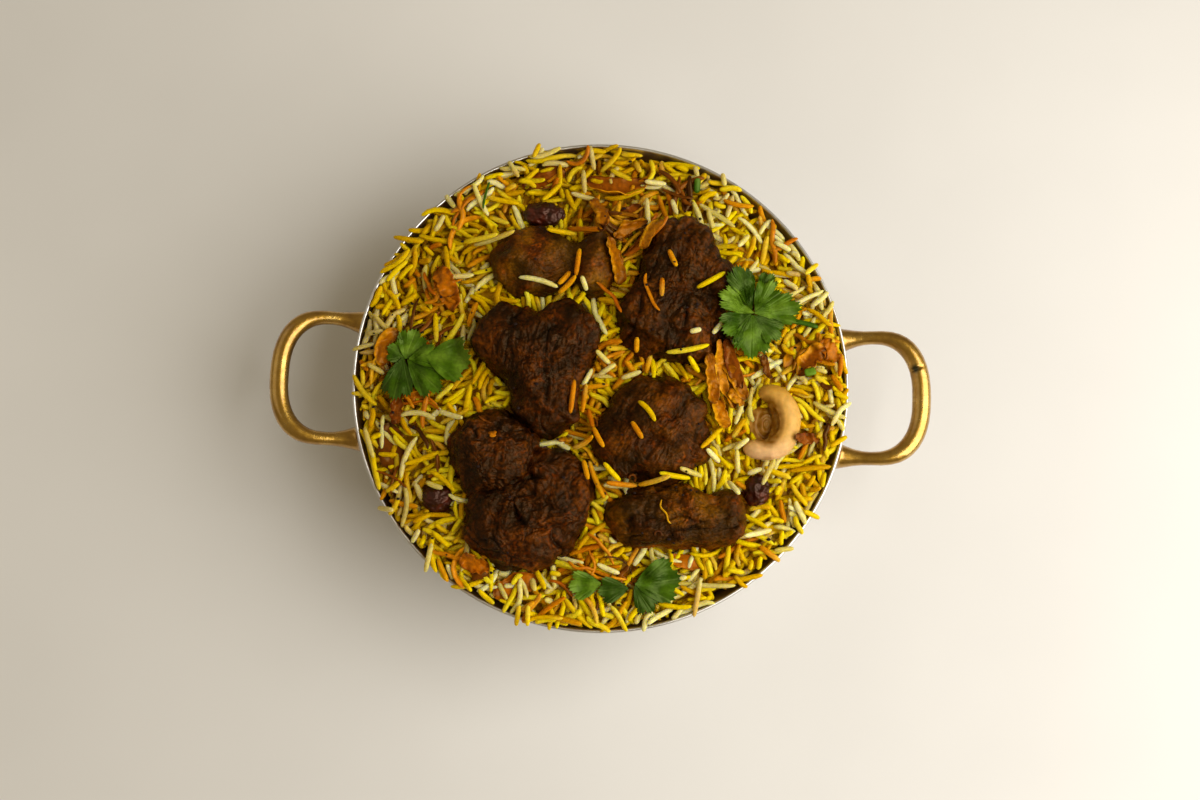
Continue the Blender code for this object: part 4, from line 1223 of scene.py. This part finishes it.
def between(x0, y0, x1, y1, bend):
    """Middle, yaw and length of an arc between two ends."""
    chord = math.hypot(x1 - x0, y1 - y0)
    yaw = math.atan2(y1 - y0, x1 - x0)
    bulge = chord / 2 * math.tan(bend / 4)
    length = chord * (bend / 2) / math.sin(bend / 2) if bend else chord
    return (x0 + x1) / 2 + bulge * math.sin(yaw), (y0 + y1) / 2 - bulge * math.cos(yaw), yaw, length


for kind, placed in PLACED_GRAINS.items():
    for ends in placed:
        x, y, yaw, length = between(*ends)
        px, py = arc(x, y, yaw, length, ends[4], grain_stations)
        middle = lay(everything, px, py, length, grain_stations, 1.0, 0.78, 0.55)
        grains[kind].append((middle, 1.0, 0.78, 0.0, grain_tint(kind, 0.0, x, y)))

PLACED_STRANDS = (  # ends (x, y) and (x, y), bend, half width, hue
    (-3, 33, 6, 22, -1.0, 0.8, "orange"), (6, 45, 21, 58, 0.9, 1.1, "orange"),
    (15, 37, 20, 23, 1.3, 0.8, "orange"), (22, -42, 26, -50, 0.8, 0.35, "amber"),
    (3, -62, 13, -70, -2.2, 0.35, "brown"), (19, 71, 31, 68, 0.4, 0.9, "brown"),
    (-14, -22, -9, -21, 0.5, 1.0, "amber"), (-15, 80, -8, 86, 2.6, 0.9, "orange"),
    (77, 2, 81, 0, 0.1, 1.2, "brown"), (-42, -70, -36, -67, 0.4, 2.0, "brown"),
    (-37.5, -22, -35, -21.5, 0, 1.2, "orange"))
for *ends, half_width, hue in PLACED_STRANDS:
    x, y, yaw, length = between(*ends)
    drop_strand(everything, x, y, yaw, length, ends[4], half_width, hue, None)


# ---------------------------------------------------------------- small onion slices
# Smaller slivers of the same fried onion, which sag over the rice and the threads that
# they lie on, a bundle of them between the meat and the cashew.

def spread_maximum(heights, radius):
    """The highest height within a radius of each cell, softened."""
    raised = heights.copy()
    for dx, dy in zip(*disc(radius)):
        raised = np.maximum(raised, np.roll(heights, (dx, dy), (0, 1)))
    for _ in range(12):
        raised = (raised + sum(np.roll(raised, step, axis) for step in (1, -1) for axis in (0, 1))) / 5
    return raised


def drape(bm, heights, x, y):
    """Moves a slice, made round the origin in mm, to a place on the pile and lets it sag."""
    points = np.array([vert.co for vert in bm.verts]) + np.array((x, y, 0.0))
    points[:, 2] = 0.55 * points[:, 2] + heights[field_cells(points[:, 0], points[:, 1])] + 0.9
    for vert, point in zip(bm.verts, points):
        vert.co = Vector(point * MM) + Vector((0.0, 0.0, rim_height))


DRAPED_SLICES = (  # place (x, y), length, width, bend, turn, roll, cup, hue
    (38.9, 0.8, 17.0, 4.0, -20.0, 97.0, 8.0, 0.8, "amber"),
    (45.7, 6.7, 18.0, 4.0, 24.0, 108.0, -10.0, 0.8, "red"),
    (41.4, 5.0, 19.0, 3.0, 22.0, 99.0, 12.0, 0.8, "gold"),
    (47.4, 1.0, 14.5, 3.8, -30.0, 122.0, 10.0, 0.7, "amber"),
    (42.1, -11.0, 10.5, 4.4, 30.0, 112.0, -8.0, 0.7, "gold"),
    (47.0, -5.0, 7.5, 2.6, 40.0, 139.0, 12.0, 0.6, "gold"),
    (57.5, 6.5, 9.0, 2.2, 30.0, 107.0, 10.0, 0.6, "brown"),
    (4.2, 42.0, 17.0, 4.2, -26.0, 106.0, 12.0, 1.0, "amber"),
    (73.0, 10.0, 14.0, 6.5, 40.0, 48.0, -14.0, 1.2, "crescent"),
    (80.0, 13.5, 9.0, 5.0, 30.0, 120.0, 10.0, 0.7, "orange"),
    (72.5, -18.0, 9.5, 3.6, 24.0, 8.0, 6.0, 0.5, "red"),
    (-56.0, 33.0, 12.0, 6.2, 30.0, -62.0, 8.0, 0.8, "orange"),
    (-77.0, 10.0, 15.0, 4.4, 120.0, 70.0, 10.0, 0.9, "amber"),
    (8.0, 55.0, 14.0, 4.2, 60.0, 30.0, 10.0, 0.9, "amber"),
    (-2.0, 60.0, 13.0, 4.4, -50.0, 110.0, -10.0, 0.9, "amber"),
    (15.0, 52.0, 13.0, 3.8, 60.0, 58.0, 10.0, 0.9, "gold"),
    (-71.0, -12.0, 12.0, 4.4, 50.0, 80.0, 12.0, 0.9, "red"),
    (-41.0, -66.0, 11.0, 5.0, 40.0, 160.0, 10.0, 0.8, "orange"))
slice_ground = spread_maximum(np.maximum(everything, -6.0), 1.0)
for k, (x, y, *shape) in enumerate(DRAPED_SLICES):
    draped = fry_slice(f"loose_slice_{k + 1}", *shape, rough=0.18, ground=(slice_ground, x, y))
    settle(draped, "fried_onion")
    everything = np.maximum(everything, cover([draped]))


# ---------------------------------------------------------------- meat fibres and spice
# Short fibres torn off the meat, which stand up from it or lie on it, and coarse grits of
# the roasted spices that it was braised in.

def tube_piece(name, tubes, rings, sides, ends, material):
    """One mesh of tapered tubes: each has a middle line, half sizes, a lean and colours."""
    bm = bmesh.new()
    bmesh.ops.create_uvsphere(bm, u_segments=sides, v_segments=rings, radius=1.0)
    shape = np.array([vert.co for vert in bm.verts])
    faces = [[vert.index for vert in face.verts] for face in bm.faces]
    bm.free()
    ring = np.rint(np.arccos(np.clip(shape[:, 2], -1, 1)) / np.pi * rings).astype(int)
    width = np.hypot(shape[:, 0], shape[:, 1])
    round_x, round_y = (np.divide(shape[:, k], width, where=ring % rings > 0,
                                  out=np.zeros(len(shape))) for k in (0, 1))
    taper = (1 - np.abs(stations_for(rings)) ** ends[0]) ** ends[1]
    middles = np.array([tube[0] for tube in tubes])
    wide, high, lean = (np.array([tube[k] for tube in tubes])[:, None, None] for k in (1, 2, 3))
    along = np.gradient(middles, axis=1)
    along /= np.linalg.norm(along, axis=2, keepdims=True)
    side = np.cross(along, (0.0, 0.0, 1.0))
    side /= np.linalg.norm(side, axis=2, keepdims=True)
    rise = np.cross(side, along)
    side, rise = side * np.cos(lean) + rise * np.sin(lean), rise * np.cos(lean) - side * np.sin(lean)
    size = taper[ring][None, :, None]
    points = (middles[:, ring] + side[:, ring] * wide * size * round_x[None, :, None]
              + rise[:, ring] * high * size * round_y[None, :, None])
    points = points.reshape(-1, 3) * MM + np.array((0.0, 0.0, rim_height))
    mesh = bpy.data.meshes.new(name)
    joined = [[i + k * len(shape) for i in face] for k in range(len(tubes)) for face in faces]
    mesh.from_pydata(points, [], joined)
    colours = np.array([tube[4] for tube in tubes])[:, ring]
    paint(mesh, colours.reshape(-1, 4))
    mesh.shade_smooth()
    return new_object(name, mesh, material)


FIBRE_TRIES = 12             # those that miss the meat are left out
loose_fibres = []
for _ in range(FIBRE_TRIES):
    x, y = draw.uniform(-60, 60, 2)
    if not under_meat[field_cells(x, y)]:
        continue
    length = draw.uniform(3.0, 6.0)
    px, py = arc(x, y, draw.uniform(0, math.tau), length, draw.normal(0, 1.8), strand_stations)
    middle = lay(everything, px, py, length, strand_stations, 0.3, 0.2, 0.05)
    tint = shades("#3a1602", "#7a400c", STRAND_RINGS + 1, 0.8)
    loose_fibres.append((middle, draw.uniform(0.30, 0.50), 0.25, 0.0, tint))
fibre_piece = tube_piece("loose_meat_fibres", loose_fibres, STRAND_RINGS, 5, (6.0, 0.6), browned)
settle(fibre_piece, "browned_meat")

SPECK_TRIES = 160            # those off the dish or on the garnish are left out
SPECK_REACH = 82
speck_bm = bmesh.new()
for _ in range(SPECK_TRIES):
    x, y = draw.uniform(-SPECK_REACH, SPECK_REACH, 2)
    if math.hypot(x, y) > SPECK_REACH or under_topping[field_cells(x, y)]:
        continue
    size = draw.uniform(0.25, 0.6) * MM
    top = everything[field_cells(x, y)] * MM + rim_height
    shape = Matrix.Diagonal((size * draw.uniform(0.8, 1.6), size, size * 0.8, 1.0))
    bmesh.ops.create_icosphere(speck_bm, subdivisions=1, radius=1.0,
                               matrix=Matrix.Translation((x * MM, y * MM, top + 0.2 * size)) @ shape)
# Roasted spice, ground coarse: tiny, dry and almost black.
spice = new_material("ground_spice", Roughness=0.7, Specular_IOR_Level=0.2,
                     Base_Color=linear("#1c0a04"))
specks = finish_bmesh("spice_specks", speck_bm, spice, 30.0)
settle(specks, "browned_meat")


# ---------------------------------------------------------------- grain and thread pieces
# The loose grains that were laid down above, one piece for each of their colours, and the
# threads of fried onion among them as one more.

# Steamed rice stained by saffron water: soft and half clear, so light runs through a grain,
# with a moist sheen and small chalky flecks.
rice_skin = food_skin("cooked_rice", 900.0, 2.0, (0.82, 1.12), 0.25, 0.3, Roughness=0.42,
                      Specular_IOR_Level=0.24, Specular_Tint=(1.0, 0.78, 0.08, 1.0),
                      Subsurface_Weight=0.75, Subsurface_Scale=2.8 * MM,
                      Subsurface_Radius=(1.0, 0.8, 0.12))
for kind, tubes in grains.items():
    rice_piece = tube_piece("rice_" + kind, tubes, GRAIN_RINGS, 6, (4.8, 0.5), rice_skin)
    settle(rice_piece, "saffron_rice")
strand_piece = tube_piece("fried_onion_threads", strands, STRAND_RINGS, 6, (6.0, 0.6), fried_onion)
settle(strand_piece, "fried_onion")


# ---------------------------------------------------------------- coriander
# Fresh leaves laid on last, thin and soft enough to drape a little.  Each leaflet is a
# fan of three toothed lobes, its veins sunk into the upper face.

LEAVES = {  # joint (x, y); leaflets: way, length, half spread, paleness with painted sheen and start from the joint
    "coriander_left": ((-67.9, 3.8), (
        (150.0, 8.4, 56.0, 0.35, 0.0, 1.6), (72.0, 12.0, 46.0, 0.65, -1.0, 1.0),
        (262.0, 16.8, 34.0, 0.0, -1.6, 2.4), (318.0, 18.0, 32.0, 0.45, -0.4, 1.4),
        (8.0, 12.0, 34.0, 0.6, 0.0, 1.2), (-5.0, 17.2, 46.0, 0.8, 6.2, 1.9))),
    "coriander_right": ((51.5, 23.9), (
        (48.0, 10.4, 34.0, 0.3, 2.0, 9.4), (62.0, 15.0, 30.0, 0.5, 1.6, 1.6),
        (12.0, 18.4, 32.0, 0.70, 1.0, 1.6), (-38.0, 13.6, 36.0, 0.1, 0.8, 1.0),
        (-92.0, 17.0, 40.0, 0.5, 0.8, 1.4), (221.0, 14.8, 36.0, 0.3, 0.8, 1.4),
        (116.0, 16.4, 32.0, 0.15, 0.8, 2.4), (160.0, 15.0, 26.0, 0.95, 1.8, 1.2))),
    "coriander_front_left": ((1.7, -67.8), ((188.0, 12.2, 42.0, 0.8, 1.4, -2.8),
                                            (188.0, 11.6, 40.0, 0.1, 10.9, -4.1))),
    "coriander_front_right": ((13.8, -70.7), ((-52.0, 12.0, 36.0, 0.1, 0.0, 0.0),
                                              (10.0, 17.2, 46.0, 0.35, 0.0, 0.0))),
}
LEAF_THICK = 0.35
LEAF_REST = 2.6              # how far round a point a leaf is held up by what it touches
LEAF_GRID = (84, 16)         # cells across a leaflet and out along it

leaf_ground = spread_maximum(np.maximum(everything, -6.0), LEAF_REST)
# A fresh coriander leaf, thin and tender: mid green with a soft waxy gleam, finely grained
# by its cells, paler along its veins, with painted shade in its dips and painted sheen on
# its rises and on some leaflets.
herb = food_skin("coriander_leaf", 900.0, 3.0, (0.75, 1.2), 0.3, 0.2, Roughness=0.42,
                 Specular_IOR_Level=0.38, Specular_Tint=(0.85, 1.0, 0.30, 1.0))


def leaflet(bm, start, way, length, spread, paleness_and_sheen, lift, tints):
    """A fan of three toothed lobes, draped over the pile."""
    before = len(bm.verts)
    bmesh.ops.create_grid(bm, x_segments=LEAF_GRID[0], y_segments=LEAF_GRID[1], size=1.0)
    bm.verts.ensure_lookup_table()
    verts = bm.verts[before:]
    plan = np.array([vert.co for vert in verts])
    across, out = plan[:, 0], (plan[:, 1] + 1) / 2
    lobe = np.abs(np.cos(1.5 * math.pi * across)) ** 0.55
    centre_lobe = np.exp(-(across / 0.42) ** 2)
    tooth = 1 - np.abs(np.sin(across * math.pi * 7.5 + length))
    reach = length * (0.73 + 0.14 * lobe + 0.05 * centre_lobe + 0.08 * tooth)
    reach *= np.clip(1.002 - np.abs(across) ** 4, 0.02, 1.0) ** 0.36
    turn = math.radians(way) + math.radians(spread) * across * (0.75 + 0.25 * out)
    radius = 0.6 + (reach - 0.6) * out
    x, y = start[0] + radius * np.cos(turn), start[1] + radius * np.sin(turn)
    vein = np.exp(-(np.sin(1.5 * math.pi * across) / 0.16) ** 2) * (0.3 + 0.7 * out)
    flutter = noise(np.column_stack((x / 5.0, y / 5.0, np.full(len(x), way))))
    cupping = 0.5 * out ** 3 * np.cos(across * 9 + way)
    z = leaf_ground[field_cells(x, y)] + lift + 0.7 * flutter * out - 0.16 * vein + cupping
    # Painted light: a leaflet's paleness stands partly for sheen, and the leaf is painted darker where the
    # flutter dips it and paler where it rises.
    mix = cut_off(paleness_and_sheen + 0.5 * flutter - 0.2 * np.abs(across))
    colours = blend_colours("#203a00", "#3c5a02", cut_off(mix * 2))
    colours = blend_colours(colours, "#66821e", cut_off(mix * 2 - 1))
    colours = blend_colours(colours, "#7a903a", 0.16 * vein)
    for vert, px, py, pz, colour in zip(verts, x, y, z, colours):
        vert.co = (px * MM, py * MM, rim_height + pz * MM)
        vert[tints] = colour


STEM_BITS = (  # ends (x, y) and (x, y), bend, half width, half thickness
    (66, 24, 76, 22, -0.3, 1.0, 0.6), (71, 5, 75, 6, 0.2, 1.5, 0.35), (32, 75, 32, 70, 0.0, 1.2, 0.5),
    (-44, 60, -42, 72, -0.3, 0.45, 0.4))
stem_tubes = []
for *ends, half_width, half_thick in STEM_BITS:
    x, y, yaw, length = between(*ends)
    px, py = arc(x, y, yaw, length, ends[4], grain_stations)
    middle = lay(everything, px, py, length, grain_stations, half_width, half_thick, 0.5)
    stem_tubes.append((middle, half_width, half_thick, 0.2, shades("#2c5004", "#5a7c14", 8, 0.5)))
stem_piece = tube_piece("coriander_stem_bits", stem_tubes, GRAIN_RINGS, 8, (8.0, 0.5), herb)
settle(stem_piece, "coriander_leaf")

for leaf_name, (joint, leaflets) in LEAVES.items():
    leaf_bm = bmesh.new()
    leaf_tints = leaf_bm.verts.layers.float_color.new("tint")
    for k, (way, length, spread, paleness_and_sheen, dx, dy) in enumerate(leaflets):
        start = (joint[0] + dx, joint[1] + dy)
        leaflet(leaf_bm, start, way, length, spread, paleness_and_sheen, 0.4 + 0.28 * k, leaf_tints)
    thicken(leaf_bm, LEAF_THICK * MM)
    leaf = finish_bmesh("fresh_" + leaf_name, leaf_bm, herb, 70.0)
    settle(leaf, "coriander_leaf", leaf_name)
